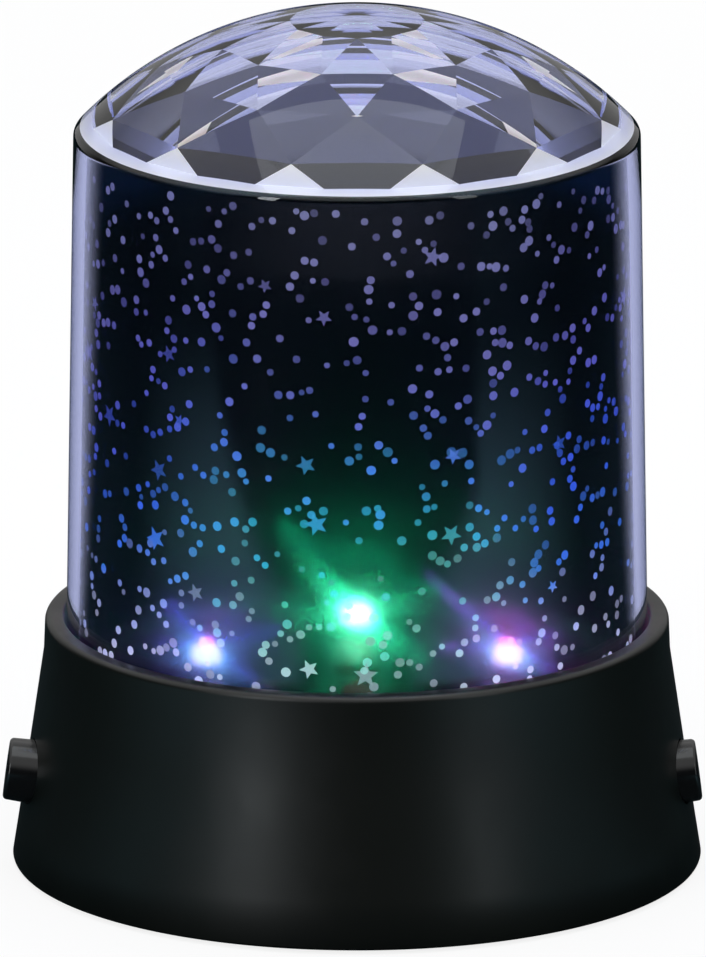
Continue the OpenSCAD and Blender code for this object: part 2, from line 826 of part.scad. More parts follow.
module button_left() {
    color("#0b0c0e") button_cap(-1, left_out);
}

module button_right() {
    color("#0b0c0e") button_cap(1, right_out);
}

module plunger_left() {
    color(ivory) plunger(-1, left_out);
}

module plunger_right() {
    color(ivory) plunger(1, right_out);
}

// ---------------------------------------------------------------- wires

module battery_wires() {
    side_x = -(box_x + box_wall + 0.8);
    color("#c03030") for (y = [8, 11])
        wire([[side_x, y, cell_z], [side_x, y, board_top + 1.6], [-20, y, board_top + 1.6],
              [-20, y, board_top + 0.02]]);
}

module motor_wires() {
    gap_y = -(box_y + box_wall + 1.3);
    color("#c03030") for (x = [-3, 3])
        wire([[x, gap_y - 0.9, 7], [x, gap_y, 7.9], [x, gap_y, board_top + 1.6],
              [x, board_front + 2.5, board_top + 1.6], [x, board_front + 2.5, board_top + 0.02]]);
}

module led_wires() {
    color("#c03030") for (x = [-1.5, 1.5])
        wire([[x, 0, board_top + 0.02], [x, 0, lamp_board_top + 1.2], [x, 7, lamp_board_top + 1.2],
              [x, 7, lamp_board_top + 0.02]]);
}

module switch_wires() {
    color("#c9c9c9") for (side = [-1, 1], y = [-9.4, -7])
        wire([[side * 34.4, y, cradle_top - 0.3], [side * 28, y, cradle_top - 0.3],
              [side * 28, y, board_top + 1.6], [side * 21, y, board_top + 1.6],
              [side * 21, y, board_top + 0.02]]);
}

base_shell();
bottom_plate();
feet();
bottom_screws();
battery_box();
battery_door();
door_screw();
aaa_cells();
contact_springs();
contact_plates();
carrier();
carrier_screws();
motor_can();
gearbox_case();
motor_screws();
output_shaft();
pinion();
turntable();
clear_cover();
star_film();
light_deck();
deck_screws();
led_board();
led_board_screws();
led_green();
led_blue();
led_purple();
led_red();
main_board();
board_screws();
control_chip();
capacitor();
usb_socket();
switch_left();
switch_right();
button_left();
button_right();
plunger_left();
plunger_right();
battery_wires();
motor_wires();
led_wires();
switch_wires();
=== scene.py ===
"""Looks of a star night light projector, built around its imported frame.

A black base carries a turntable with a clear faceted cover and a dark film of dots and stars.
Four coloured lamps stand inside. Each sub-assembly is a class that builds its own meshes and
dresses the pieces of the frame that belong to it. All sizes are metres, in the frame's own axes.
"""

import logging
import math
from dataclasses import dataclass
from enum import Enum

import bmesh
import bpy
from mathutils import Matrix, Vector

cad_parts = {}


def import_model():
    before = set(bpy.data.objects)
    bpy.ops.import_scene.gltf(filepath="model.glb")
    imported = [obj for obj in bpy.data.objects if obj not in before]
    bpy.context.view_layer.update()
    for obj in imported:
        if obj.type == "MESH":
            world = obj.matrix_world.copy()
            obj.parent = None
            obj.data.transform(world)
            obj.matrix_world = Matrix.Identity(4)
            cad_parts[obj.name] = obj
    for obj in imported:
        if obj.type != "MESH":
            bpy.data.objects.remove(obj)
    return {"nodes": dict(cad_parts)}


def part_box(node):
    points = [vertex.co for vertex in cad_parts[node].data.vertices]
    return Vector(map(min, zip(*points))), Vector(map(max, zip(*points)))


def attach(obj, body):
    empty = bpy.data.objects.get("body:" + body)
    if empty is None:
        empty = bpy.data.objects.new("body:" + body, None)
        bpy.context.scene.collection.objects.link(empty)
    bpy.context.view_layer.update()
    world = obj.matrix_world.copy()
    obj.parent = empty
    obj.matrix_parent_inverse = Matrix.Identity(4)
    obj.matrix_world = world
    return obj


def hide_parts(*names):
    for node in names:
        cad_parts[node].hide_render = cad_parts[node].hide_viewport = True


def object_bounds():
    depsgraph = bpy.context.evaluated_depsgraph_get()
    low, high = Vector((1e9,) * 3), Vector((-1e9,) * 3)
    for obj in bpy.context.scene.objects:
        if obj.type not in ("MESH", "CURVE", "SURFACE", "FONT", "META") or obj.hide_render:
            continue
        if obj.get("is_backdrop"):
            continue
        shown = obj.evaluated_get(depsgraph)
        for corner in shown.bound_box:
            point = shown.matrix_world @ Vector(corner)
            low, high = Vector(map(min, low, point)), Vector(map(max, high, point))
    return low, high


LOG = logging.getLogger("projector")
MM = 0.001
FRAME_H = 957

Pair = tuple[float, float]
Triple = tuple[float, float, float]
Colour = Triple
Profile = list[Pair]
Socket = bpy.types.NodeSocket
Sockets = bpy.types.NodeOutputs
Piece = bpy.types.Object
Nodes = dict[str, Piece]
BMesh = bmesh.types.BMesh
WHITE: Colour = (1.0, 1.0, 1.0)


class Lamp(Enum):
    """The four lamps: the node, and the colour and strength of its sides, its dome and its tip."""

    GREEN = ("led_green", (0.0, 4.0, 1.6), (14.0, 32.0, 15.0), (60.0, 2500.0, 1040.0))
    BLUE = ("led_blue", (0.14, 0.12, 0.4), (7.4, 4.6, 8.4), (1700.0, 200.0, 1600.0))
    PURPLE = ("led_purple", (0.4, 0.08, 0.4), (9.5, 4.6, 8.0), (3400.0, 180.0, 1500.0))
    RED = ("led_red", (0.02, 0.004, 0.002), (0.04, 0.01, 0.006), (0.05, 0.02, 0.01))


class Side(Enum):
    """The two push buttons: the node, its side, and how far its cap stands out of the wall."""

    LEFT = ("button_left", -1, 4.0 * MM)
    RIGHT = ("button_right", 1, 2.5 * MM)


# ---------------------------------------------------------------- node tools


class Graph:
    """A thin hand over a node tree: it adds nodes and links them in one call."""

    def __init__(self, tree: bpy.types.NodeTree) -> None:
        """Start with an empty tree.

        Args:
            tree: the tree to fill; what it holds already is removed.
        """
        self.tree = tree
        tree.nodes.clear()

    def add(self, kind: str, **settings: object) -> bpy.types.Node:
        """Add a node.

        Args:
            kind: Blender's name for the node type.
            settings: attributes of the node to set.

        Returns:
            The new node.
        """
        node = self.tree.nodes.new(kind)
        for name, value in settings.items():
            setattr(node, name, value)
        return node

    def feed(self, node: bpy.types.Node, **inputs: object) -> bpy.types.Node:
        """Set or link a node's inputs; underscores in a name stand for spaces.

        Args:
            node: the node whose inputs are set.
            inputs: a socket to link, or a plain value.

        Returns:
            The same node.
        """
        for name, value in inputs.items():
            socket = node.inputs[name.replace("_", " ")]
            self.join(value, socket)
        return node

    def join(self, value: object, socket: Socket) -> None:
        """Link a socket to another, or set it to a plain value."""
        if isinstance(value, Socket):
            self.tree.links.new(value, socket)
        else:
            socket.default_value = value

    def math(self, operation: str, *values: object) -> Socket:
        """Add a Math node.

        Args:
            operation: Blender's name for the operation.
            values: its inputs in order, sockets or numbers.

        Returns:
            The output socket.
        """
        node = self.add("ShaderNodeMath", operation=operation)
        for index, value in enumerate(values):
            self.join(value, node.inputs[index])
        return node.outputs[0]

    def vector_math(self, operation: str, *values: object) -> Socket:
        """Add a Vector Math node and return its vector output."""
        node = self.add("ShaderNodeVectorMath", operation=operation)
        for index, value in enumerate(values):
            self.join(value, node.inputs[index])
        return node.outputs[0]

    def spread(
        self, value: Socket, low: float, high: float, to_low: float, to_high: float
    ) -> Socket:
        """Map a value smoothly from one range to another.

        Args:
            value: the socket to map.
            low: start of the range read.
            high: end of the range read.
            to_low: what the start becomes.
            to_high: what the end becomes.

        Returns:
            The mapped value.
        """
        node = self.add("ShaderNodeMapRange", interpolation_type="SMOOTHSTEP")
        self.feed(node, Value=value, From_Min=low, From_Max=high, To_Min=to_low, To_Max=to_high)
        return node.outputs["Result"]

    def mix_colour(self, share: object, first: object, second: object) -> Socket:
        """Mix two colours by a share and return the result."""
        node = self.add("ShaderNodeMix", data_type="RGBA")
        self.join(share, node.inputs[0])
        self.join(opaque(first), node.inputs[6])
        self.join(opaque(second), node.inputs[7])
        return node.outputs[2]

    def mix_shader(self, share: object, first: object, second: object) -> Socket:
        """Mix two shaders by a share and return the result."""
        node = self.add("ShaderNodeMixShader")
        self.join(share, node.inputs[0])
        self.join(first, node.inputs[1])
        self.join(second, node.inputs[2])
        return node.outputs[0]

    def skin(self, **inputs: object) -> Socket:
        """Add a Principled shader with these inputs and return it."""
        return self.feed(self.add("ShaderNodeBsdfPrincipled"), **inputs).outputs[0]

    def clear(self, colour: Colour = WHITE) -> Socket:
        """Add a Transparent shader and return it."""
        return self.feed(self.add("ShaderNodeBsdfTransparent"), Color=opaque(colour)).outputs[0]

    def open_to_shadows(self, surface: Socket, colour: Colour) -> Socket:
        """Let shadow rays pass a surface in a colour, and return the shader."""
        shadow = self.add("ShaderNodeLightPath").outputs["Is Shadow Ray"]
        return self.mix_shader(shadow, surface, self.clear(colour))

    def bump(self, height: object, strength: float, distance: float) -> Socket:
        """Add a Bump node and return its normal."""
        node = self.add("ShaderNodeBump")
        return self.feed(node, Strength=strength, Distance=distance, Height=height).outputs[0]

    def noise(self, place: Socket, scale: object, **inputs: float) -> Socket:
        """Add a 3D noise at a place, with the node's other inputs, and return its value."""
        node = self.add("ShaderNodeTexNoise", noise_dimensions="3D")
        return self.feed(node, Vector=place, Scale=scale, **inputs).outputs["Fac"]

    def place(self) -> Socket:
        """Return the Object coordinates."""
        return self.add("ShaderNodeTexCoord").outputs["Object"]

    def parts(self, vector: Socket) -> Sockets:
        """Split a vector and return its X, Y and Z."""
        return self.feed(self.add("ShaderNodeSeparateXYZ"), Vector=vector).outputs

    def scaled(self, vector: Socket, scale: object) -> Socket:
        """Scale a vector by a number or a socket and return it."""
        result = self.vector_math("SCALE", vector)
        self.join(scale, result.node.inputs["Scale"])
        return result

    def ramp(self, value: object, stops: list[tuple[float, Colour]]) -> Socket:
        """Add a colour ramp.

        Args:
            value: the socket that picks the colour.
            stops: places along the ramp, from 0 to 1, with their colours.

        Returns:
            The colour.
        """
        node = self.add("ShaderNodeValToRGB")
        band = node.color_ramp
        while len(band.elements) < len(stops):
            band.elements.new(1.0)
        for element, (place, colour) in zip(band.elements, stops):
            element.position = place
            element.color = opaque(colour)
        self.join(value, node.inputs[0])
        return node.outputs[0]


def opaque(colour: object) -> object:
    """Return a three-part colour with a fourth part of 1; leave anything else as it is."""
    if isinstance(colour, tuple) and len(colour) == 3:
        return (*colour, 1.0)
    return colour


def new_material(name: str) -> tuple[bpy.types.Material, Graph, bpy.types.Node]:
    """Make a material with an output node.

    Args:
        name: the material's name.

    Returns:
        The material, its graph and its output node.
    """
    material = bpy.data.materials.new(name)
    material.use_nodes = True
    graph = Graph(material.node_tree)
    return material, graph, graph.add("ShaderNodeOutputMaterial")


# ---------------------------------------------------------------- shared effects


class Effect:
    """Shader node groups that several finishes share, each made once."""

    @staticmethod
    def start(name: str, inputs: dict[str, float], outputs: list[str]) -> Graph | None:
        """Open a new shader group.

        Args:
            name: the group's name.
            inputs: its number inputs with their defaults.
            outputs: its number outputs.

        Returns:
            The graph to fill, or None where the group is there already.
        """
        if name in bpy.data.node_groups:
            return None
        group = bpy.data.node_groups.new(name, "ShaderNodeTree")
        make, kind = group.interface.new_socket, "NodeSocketFloat"
        for label, value in inputs.items():
            make(label, in_out="INPUT", socket_type=kind).default_value = value
        for label in outputs:
            make(label, in_out="OUTPUT", socket_type=kind)
        return Graph(group)

    @classmethod
    def grain(cls) -> bpy.types.NodeTree:
        """Build the fine texture of moulded plastic.

        Returns:
            A group with Scale and Patch inputs and Height and Gloss outputs: a fine height, and
            a slow change from 0 to 1 that tells where the surface is a little glossier.
        """
        graph = cls.start("moulded_grain", {"Scale": 3000.0, "Patch": 60.0}, ["Height", "Gloss"])
        if graph is not None:
            given = graph.add("NodeGroupInput").outputs
            target = graph.add("NodeGroupOutput")
            place = graph.place()
            fine = graph.noise(place, given["Scale"], Detail=3.0, Roughness=0.6)
            slow = graph.noise(place, given["Patch"], Detail=4.0, Roughness=0.55)
            graph.feed(target, Height=fine, Gloss=graph.spread(slow, 0.3, 0.7, 0.0, 1.0))
        return bpy.data.node_groups["moulded_grain"]


# ---------------------------------------------------------------- finishes


@dataclass(frozen=True)
class Finish:
    """What a surface looks like. Each kind of finish has its own surface()."""

    name: str

    def grain(self, graph: Graph) -> Sockets:
        """Add the shared grain at the finish's own scales and return its Height and Gloss."""
        node = graph.add("ShaderNodeGroup", node_tree=Effect.grain())
        return graph.feed(node, Scale=self.grain_scale, Patch=self.patch_scale).outputs

    def surface(self, graph: Graph) -> Socket:
        """Build the shader of the surface and return it."""
        raise NotImplementedError

    def inner(self, graph: Graph) -> Socket | None:
        """Build the shader of what is under the surface, or return None for none."""
        return None

    def make(self) -> bpy.types.Material:
        """Build the material.

        Returns:
            The material, named like the finish.
        """
        material, graph, output = new_material(self.name)
        graph.join(self.surface(graph), output.inputs["Surface"])
        inner = self.inner(graph)
        if inner is not None:
            graph.join(inner, output.inputs["Volume"])
        return material


@dataclass(frozen=True)
class MouldedPlastic(Finish):
    """Injection-moulded plastic with a fine grain and slow changes in its gloss."""

    colour: Colour
    roughness: float = 0.4
    gloss_change: float = 0.08
    tone_change: float = 0.25
    tone_lift: float = 0.002
    grain_scale: float = 2600.0
    patch_scale: float = 45.0
    grain_depth: float = 0.02 * MM
    grain_strength: float = 0.25

    def surface(self, graph: Graph) -> Socket:
        """Build the grained skin and return it."""
        grain = self.grain(graph)
        gloss, rougher = grain["Gloss"], self.roughness + self.gloss_change
        lighter = tuple(
            min(1.0, part * (1.0 + self.tone_change) + self.tone_lift) for part in self.colour
        )
        return graph.skin(
            Base_Color=graph.mix_colour(gloss, self.colour, lighter),
            Roughness=graph.spread(gloss, 0.0, 1.0, rougher, self.roughness),
            Normal=graph.bump(grain["Height"], self.grain_strength, self.grain_depth),
        )


@dataclass(frozen=True)
class PlatedMetal(Finish):
    """Plated or drawn metal with fine lines and slight stains."""

    colour: Colour
    roughness: float = 0.28
    rougher: float = 0.16
    stain: float = 0.8
    grain_scale: float = 1800.0
    patch_scale: float = 160.0
    line_depth: float = 0.01 * MM
    line_strength: float = 0.15

    def surface(self, graph: Graph) -> Socket:
        """Build the lined metal and return it."""
        grain = self.grain(graph)
        lines = grain["Height"]
        darker = tuple(part * self.stain for part in self.colour)
        return graph.skin(
            Base_Color=graph.mix_colour(grain["Gloss"], darker, self.colour),
            Metallic=1.0,
            Roughness=graph.spread(lines, 0.3, 0.7, self.roughness, self.roughness + self.rougher),
            Normal=graph.bump(lines, self.line_strength, self.line_depth),
        )


@dataclass(frozen=True)
class ClearAcrylic(Finish):
    """Polished clear plastic that turns violet-blue where it is looked through lengthwise."""

    tint: Colour = (0.90, 0.91, 0.97)
    depth_tint: Colour = (0.52, 0.58, 0.95)
    depth_density: float = 170.0
    refraction: float = 1.49
    roughness: float = 0.0

    def surface(self, graph: Graph) -> Socket:
        """Build the clear skin, which lets shadow rays through, and return it."""
        skin = graph.skin(
            Base_Color=opaque(self.tint),
            Roughness=self.roughness,
            IOR=self.refraction,
            Transmission_Weight=1.0,
        )
        return graph.open_to_shadows(skin, self.tint)

    def inner(self, graph: Graph) -> Socket:
        """Build the absorption inside the plastic and return it."""
        depth = graph.add("ShaderNodeVolumeAbsorption")
        graph.feed(depth, Color=opaque(self.depth_tint), Density=self.depth_density)
        return depth.outputs[0]


@dataclass(frozen=True)
class PaintedWhiteFacet(Finish):
    """Small rough facets whose white is a painted reflection, with a painted glow of the lamps."""

    # painted reflection: the white stands in for light that clear facets reflect
    colour: Colour = (0.94, 0.96, 1.0)
    roughness: float = 0.5
    smoother: float = 0.06
    grain_scale: float = 1500.0
    patch_scale: float = 60.0
    through: float = 0.3
    # painted glow: a warm emission standing in for lamp light that these facets catch
    lit: Colour = (1.0, 0.92, 0.30)
    painted_glow_strength: float = 0.36

    def surface(self, graph: Graph) -> Socket:
        """Build the rough skin with its painted white and painted glow, and return it."""
        grain = self.grain(graph)
        least = self.roughness - self.smoother
        return graph.skin(
            Base_Color=opaque(self.colour),
            Roughness=graph.spread(grain["Height"], 0.2, 0.8, least, self.roughness),
            Transmission_Weight=self.through,
            Emission_Color=opaque(self.lit),
            Emission_Strength=self.painted_glow_strength,
        )


@dataclass(frozen=True)
class DarkFilm(Finish):
    """Outer face of the film: black ink that lets a little light through."""

    ink: Colour = (0.0010, 0.0016, 0.0018)
    blue_share: Colour = (1.4, 1.8, 2.4)
    through: float = 0.5
    refraction: float = 1.6
    roughness: float = 0.06
    rougher: float = 0.06
    grain_scale: float = 900.0
    patch_scale: float = 30.0
    shadow: Colour = (0.5, 0.5, 0.5)

    def surface(self, graph: Graph) -> Socket:
        """Build the ink over the slightly open film and return it."""
        grain = self.grain(graph)
        height = grain["Height"]
        blue = tuple(part * share for part, share in zip(self.ink, self.blue_share))
        skin = graph.skin(
            Base_Color=graph.mix_colour(grain["Gloss"], self.ink, blue),
            Roughness=graph.spread(height, 0.2, 0.8, self.roughness, self.roughness + self.rougher),
        )
        bend = graph.add("ShaderNodeBsdfRefraction", distribution="GGX")
        graph.feed(bend, Color=opaque(WHITE), Roughness=0.0, IOR=self.refraction)
        film = graph.mix_shader(self.through, skin, bend.outputs[0])
        return graph.open_to_shadows(film, self.shadow)


@dataclass(frozen=True)
class Spike:
    """One line of emboss on the film: it draws a lamp out into a pair of spikes."""

    angle: float
    share: float
    reach: float
    stops: int
    fade: float = 0.62


@dataclass(frozen=True)
class FilmBack(Finish):
    """Inner face of the film, whose crossed emboss turns each lamp into a star with a halo.

    heart, glow and halo are each a roughness and a share of the light.
    """

    refraction: float = 1.6
    heart: Pair = (0.14, 0.30)
    glow: Pair = (0.27, 0.10)
    halo: Pair = (0.5, 0.002)
    sheen: Colour = (0.002, 0.0025, 0.004)
    # painted glow: the top band turns lighter blue, for lamp light seen through the dome
    margin: Colour = (0.022, 0.038, 0.11)
    painted_glow_gain: float = 1.3
    painted_glow_z: float = 108.0 * MM
    painted_glow_soft: float = 3.0 * MM
    grain_scale: float = 700.0
    patch_scale: float = 40.0
    roughness: float = 0.34
    gloss: float = 0.02
    spike_roughness: float = 0.12
    spread_tint: Colour = (0.13, 0.95, 0.85)
    spikes: tuple[Spike, ...] = (
        Spike(-42.0, 0.38, 0.36, 11),
        Spike(8.0, 0.22, 0.30, 10),
        Spike(52.0, 0.03, 0.14, 4),
    )

    def lobe(self, graph: Graph, roughness: float, colour: Colour, normal: object = None) -> Socket:
        """Add one way that light is bent through the film.

        Args:
            graph: the material's graph.
            roughness: how much it is spread.
            colour: the colour that it keeps.
            normal: the tilted normal, or None for the flat film.

        Returns:
            The shader.
        """
        bend = graph.add("ShaderNodeBsdfRefraction", distribution="GGX")
        graph.feed(bend, Color=opaque(colour), Roughness=roughness, IOR=self.refraction)
        if normal is not None:
            graph.join(normal, bend.inputs["Normal"])
        return bend.outputs[0]

    def through(self, graph: Graph) -> Socket:
        """Mix the flat film's heart, glow and halo with the tilted facets of the emboss."""
        flat = graph.add("ShaderNodeNewGeometry").outputs["Normal"]
        across = graph.vector_math(
            "NORMALIZE", graph.vector_math("CROSS_PRODUCT", (0.0, 0.0, 1.0), flat)
        )
        surface, total = self.lobe(graph, self.heart[0], WHITE), self.heart[1]
        for roughness, share in (self.glow, self.halo):
            total += share
            spread = self.lobe(graph, roughness, self.spread_tint)
            surface = graph.mix_shader(share / total, surface, spread)
        for spike in self.spikes:
            weights = [spike.fade**step for step in range(spike.stops)]
            way = graph.scaled(across, math.cos(math.radians(spike.angle)))
            line = graph.vector_math("ADD", way, (0.0, 0.0, math.sin(math.radians(spike.angle))))
            for stop, weight in enumerate(weights, 1):
                for sign in (-1.0, 1.0):
                    tilt = graph.scaled(line, sign * spike.reach * stop / spike.stops)
                    normal = graph.vector_math("NORMALIZE", graph.vector_math("ADD", flat, tilt))
                    share = 0.5 * spike.share * weight / sum(weights)
                    total += share
                    lobe = self.lobe(graph, self.spike_roughness, self.spread_tint, normal)
                    surface = graph.mix_shader(share / total, surface, lobe)
        return surface

    def surface(self, graph: Graph) -> Socket:
        """Build the embossed face: dark from within, a painted glow at its top, open from without.
        """
        grain = self.grain(graph)
        # painted glow band at the top of the inner face, lighter in patches
        low, high = self.painted_glow_z - self.painted_glow_soft, self.painted_glow_z + self.painted_glow_soft
        raised = graph.spread(graph.parts(graph.place())["Z"], low, high, 0.0, 1.0)
        lighter = tuple(part * self.painted_glow_gain for part in self.margin)
        margin = graph.mix_colour(grain["Gloss"], self.margin, lighter)
        back = graph.skin(
            Base_Color=graph.mix_colour(raised, self.sheen, margin),
            Roughness=self.roughness,
            Specular_IOR_Level=self.gloss,
        )
        behind = graph.add("ShaderNodeNewGeometry").outputs["Backfacing"]
        return graph.open_to_shadows(graph.mix_shader(behind, back, self.through(graph)), WHITE)


@dataclass(frozen=True)
class FilmWindow(Finish):
    """Clear dots and stars of the film, with a painted lamp glow coloured by where they are.

    middle and sides hold the colours by height, from the lowest window seen to the highest.
    """

    low: float
    high: float
    # painted glow: the windows' emission stands in for lamp light shining through them
    glow: float = 1.6
    clear: float = 0.4
    body: Colour = (0.02, 0.02, 0.03)
    roughness: float = 0.25
    drift_scale: float = 34.0
    drift_detail: float = 2.0
    sway: float = 0.08
    shake: float = 0.06
    dimmest: float = 0.45
    brightest: float = 1.3
    middle_half: float = 14.0 * MM
    sides_from: float = 34.0 * MM
    # painted lamp light: greener low in the middle, where the green lamp shows, bluer to the sides
    middle: tuple = (
        (0.0, (0.56, 0.66, 0.64)),
        (0.12, (0.34, 0.60, 0.48)),
        (0.20, (0.10, 0.50, 0.36)),
        (0.32, (0.02, 0.42, 0.50)),
        (0.45, (0.05, 0.20, 0.60)),
        (0.57, (0.10, 0.13, 0.44)),
        (0.75, (0.13, 0.12, 0.31)),
        (1.0, (0.16, 0.16, 0.27)),
    )
    sides: tuple = (
        (0.0, (0.62, 0.62, 0.76)),
        (0.11, (0.34, 0.40, 0.72)),
        (0.24, (0.04, 0.17, 0.64)),
        (0.42, (0.03, 0.09, 0.62)),
        (0.60, (0.09, 0.09, 0.44)),
        (0.80, (0.12, 0.11, 0.32)),
        (1.0, (0.14, 0.14, 0.28)),
    )

    def tones(self, graph: Graph, jitter: Socket) -> Socket:
        """Pick a colour by height, deeper blue to the sides, with drifts and a change per dot.

        Args:
            graph: the material's graph.
            jitter: a number from 0 to 1 for each dot.

        Returns:
            The colour.
        """
        place = graph.place()
        parts = graph.parts(place)
        drift = graph.noise(place, self.drift_scale, Detail=self.drift_detail)
        height = graph.spread(parts["Z"], self.low, self.high, 0.0, 1.0)
        height.node.interpolation_type = "LINEAR"
        sway = graph.spread(drift, 0.25, 0.75, -self.sway, self.sway)
        shake = graph.spread(jitter, 0.0, 1.0, -self.shake, self.shake)
        tone = graph.math("ADD", graph.math("ADD", height, sway), shake)
        middle, sides = graph.ramp(tone, self.middle), graph.ramp(tone, self.sides)
        apart = graph.math("ABSOLUTE", parts["X"])
        aside = graph.spread(apart, self.middle_half, self.sides_from, 0.0, 1.0)
        return graph.mix_colour(aside, middle, sides)

    def surface(self, graph: Graph) -> Socket:
        """Build the half-clear window with its painted glow and return it."""
        jitter = graph.add("ShaderNodeAttribute", attribute_name="window_tint").outputs["Fac"]
        bright = graph.spread(jitter, 0.0, 1.0, self.dimmest, self.brightest)
        skin = graph.skin(
            Base_Color=opaque(self.body),
            Roughness=self.roughness,
            Emission_Color=graph.scaled(self.tones(graph, jitter), bright),
            Emission_Strength=self.glow,
        )
        return graph.mix_shader(self.clear, skin, graph.clear())


@dataclass(frozen=True)
class LampEpoxy(Finish):
    """Glowing epoxy of a lamp, pale in its dome and deeper in colour below it."""

    sides: Colour
    dome: Colour
    dome_low: float
    fade: float = 1.2 * MM
    roughness: float = 0.2

    def surface(self, graph: Graph) -> Socket:
        """Build the glowing skin and return it."""
        height = graph.parts(graph.place())["Z"]
        raised = graph.spread(height, self.dome_low - self.fade, self.dome_low, 0.0, 1.0)
        strength = max(*self.sides, *self.dome)
        below, above = (tuple(part / strength for part in tone) for tone in (self.sides, self.dome))
        return graph.skin(
            Base_Color=opaque(above),
            Roughness=self.roughness,
            Emission_Color=graph.mix_colour(raised, below, above),
            Emission_Strength=strength,
        )


@dataclass(frozen=True)
class SolderMask(Finish):
    """Coated circuit board with faint tracks."""

    colour: Colour
    track: Colour
    track_scale: float = 220.0
    track_width: float = 0.02
    track_depth: float = 0.03 * MM
    track_strength: float = 0.2
    roughness: Pair = (0.32, 0.42)

    def surface(self, graph: Graph) -> Socket:
        """Build the coated board and return it."""
        lines = graph.add("ShaderNodeTexBrick", offset=0.5)
        graph.feed(
            lines,
            Vector=graph.place(),
            Color1=opaque(self.colour),
            Color2=opaque(self.colour),
            Mortar=opaque(self.track),
            Scale=self.track_scale,
            Mortar_Size=self.track_width,
        )
        edge = lines.outputs["Fac"]
        return graph.skin(
            Base_Color=lines.outputs["Color"],
            Roughness=graph.spread(edge, 0.0, 1.0, *self.roughness),
            Normal=graph.bump(edge, self.track_strength, self.track_depth),
        )


@dataclass(frozen=True)
class CellWrap(Finish):
    """Printed sleeve of a battery cell: a plain dark body with a paler band at its nub end."""

    body: Colour = (0.05, 0.16, 0.24)
    band: Colour = (0.62, 0.48, 0.16)
    band_from: float = 12.8 * MM
    band_full: float = 13.0 * MM
    metallic: float = 0.4
    roughness: Pair = (0.26, 0.34)
    grain_scale: float = 900.0
    patch_scale: float = 90.0

    def surface(self, graph: Graph) -> Socket:
        """Build the printed sleeve and return it."""
        along = graph.math("ABSOLUTE", graph.parts(graph.place())["Y"])
        end = graph.spread(along, self.band_from, self.band_full, 0.0, 1.0)
        grain = self.grain(graph)
        return graph.skin(
            Base_Color=graph.mix_colour(end, self.body, self.band),
            Metallic=self.metallic,
            Roughness=graph.spread(grain["Gloss"], 0.0, 1.0, *self.roughness),
        )


# ---------------------------------------------------------------- mesh tools


def polar(radius: float, angle: float, height: float) -> Vector:
    """Return the place at a distance from the vertical axis, an angle round it and a height."""
    return Vector((radius * math.cos(angle), radius * math.sin(angle), height))


def lathe(outline: Profile, steps: int, closed: bool = True) -> BMesh:
    """Turn an outline about the vertical axis.

    Args:
        outline: points of radius and height, seen with the outside on the right going up.
        steps: number of steps around.
        closed: whether the last point joins the first, as round the wall of a hollow shell.

    Returns:
        The turned mesh, with poles closed where a radius is 0.
    """
    mesh = bmesh.new()
    rings = []
    for radius, height in outline:
        if radius < 1e-9:
            rings.append([mesh.verts.new((0.0, 0.0, height))])
            continue
        angles = (2.0 * math.pi * step / steps for step in range(steps))
        rings.append([mesh.verts.new(polar(radius, angle, height)) for angle in angles])
    pairs = list(zip(rings, rings[1:]))
    if closed:
        pairs.append((rings[-1], rings[0]))
    for lower, upper in pairs:
        for step in range(steps):
            after = (step + 1) % steps
            corners = [lower[step % len(lower)], lower[after % len(lower)]]
            corners += [upper[after % len(upper)], upper[step % len(upper)]]
            unique = list(dict.fromkeys(corners))
            if len(unique) > 2:
                mesh.faces.new(unique)
    return mesh


def arc(centre: Pair, radius: float, start: float, end: float, steps: int) -> Profile:
    """Return points of an arc in the plane of radius and height.

    Args:
        centre: radius and height of the arc's centre.
        radius: radius of the arc.
        start: first angle in degrees, 0 pointing outwards and 90 up.
        end: last angle in degrees.
        steps: number of steps.

    Returns:
        The points, both ends included.
    """
    points = []
    for step in range(steps + 1):
        angle = math.radians(start + (end - start) * step / steps)
        points.append((centre[0] + radius * math.cos(angle), centre[1] + radius * math.sin(angle)))
    return points


def new_object(name: str, data: bpy.types.ID) -> Piece:
    """Put a mesh, light or camera into the scene, at the origin, and return its object."""
    made = bpy.data.objects.new(name, data)
    bpy.context.scene.collection.objects.link(made)
    return made


def shade(data: bpy.types.Mesh, sharp: float) -> None:
    """Shade a mesh smoothly, but for edges turned by more than this many degrees."""
    data.polygons.foreach_set("use_smooth", [True] * len(data.polygons))
    data.set_sharp_from_angle(angle=math.radians(sharp))


def rows(low: float, high: float, count: int) -> list[float]:
    """Return evenly spread heights, both ends included.

    Args:
        low: the first height.
        high: the last height.
        count: how many steps lie between them.

    Returns:
        The heights, one more than the steps.
    """
    return [low + (high - low) * step / count for step in range(count + 1)]


def finish_mesh(mesh: BMesh, name: str, sharp: float | None = 30.0) -> Piece:
    """Turn a bmesh into an object.

    Args:
        mesh: the mesh, which is freed.
        name: the object's name.
        sharp: edges turned by more than this many degrees stay sharp; None leaves the shading.

    Returns:
        The new object, at the origin.
    """
    data = bpy.data.meshes.new(name)
    mesh.to_mesh(data)
    mesh.free()
    if sharp is not None:
        shade(data, sharp)
    return new_object(name, data)


def bake_modifiers(piece: Piece) -> None:
    """Replace a piece's mesh by what its modifiers make of it, and remove them."""
    bpy.context.view_layer.update()
    graph = bpy.context.evaluated_depsgraph_get()
    data = bpy.data.meshes.new_from_object(piece.evaluated_get(graph), depsgraph=graph)
    piece.modifiers.clear()
    piece.data = data


def dress(names: list[str], nodes: Nodes, material: bpy.types.Material) -> None:
    """Give pieces of the frame a material.

    Args:
        names: the nodes' names.
        nodes: the frame's nodes.
        material: the material.
    """
    for name in names:
        slots = nodes[name].data.materials
        if len(slots) == 0:
            slots.append(material)
        for index in range(len(slots)):
            slots[index] = material


# ---------------------------------------------------------------- base


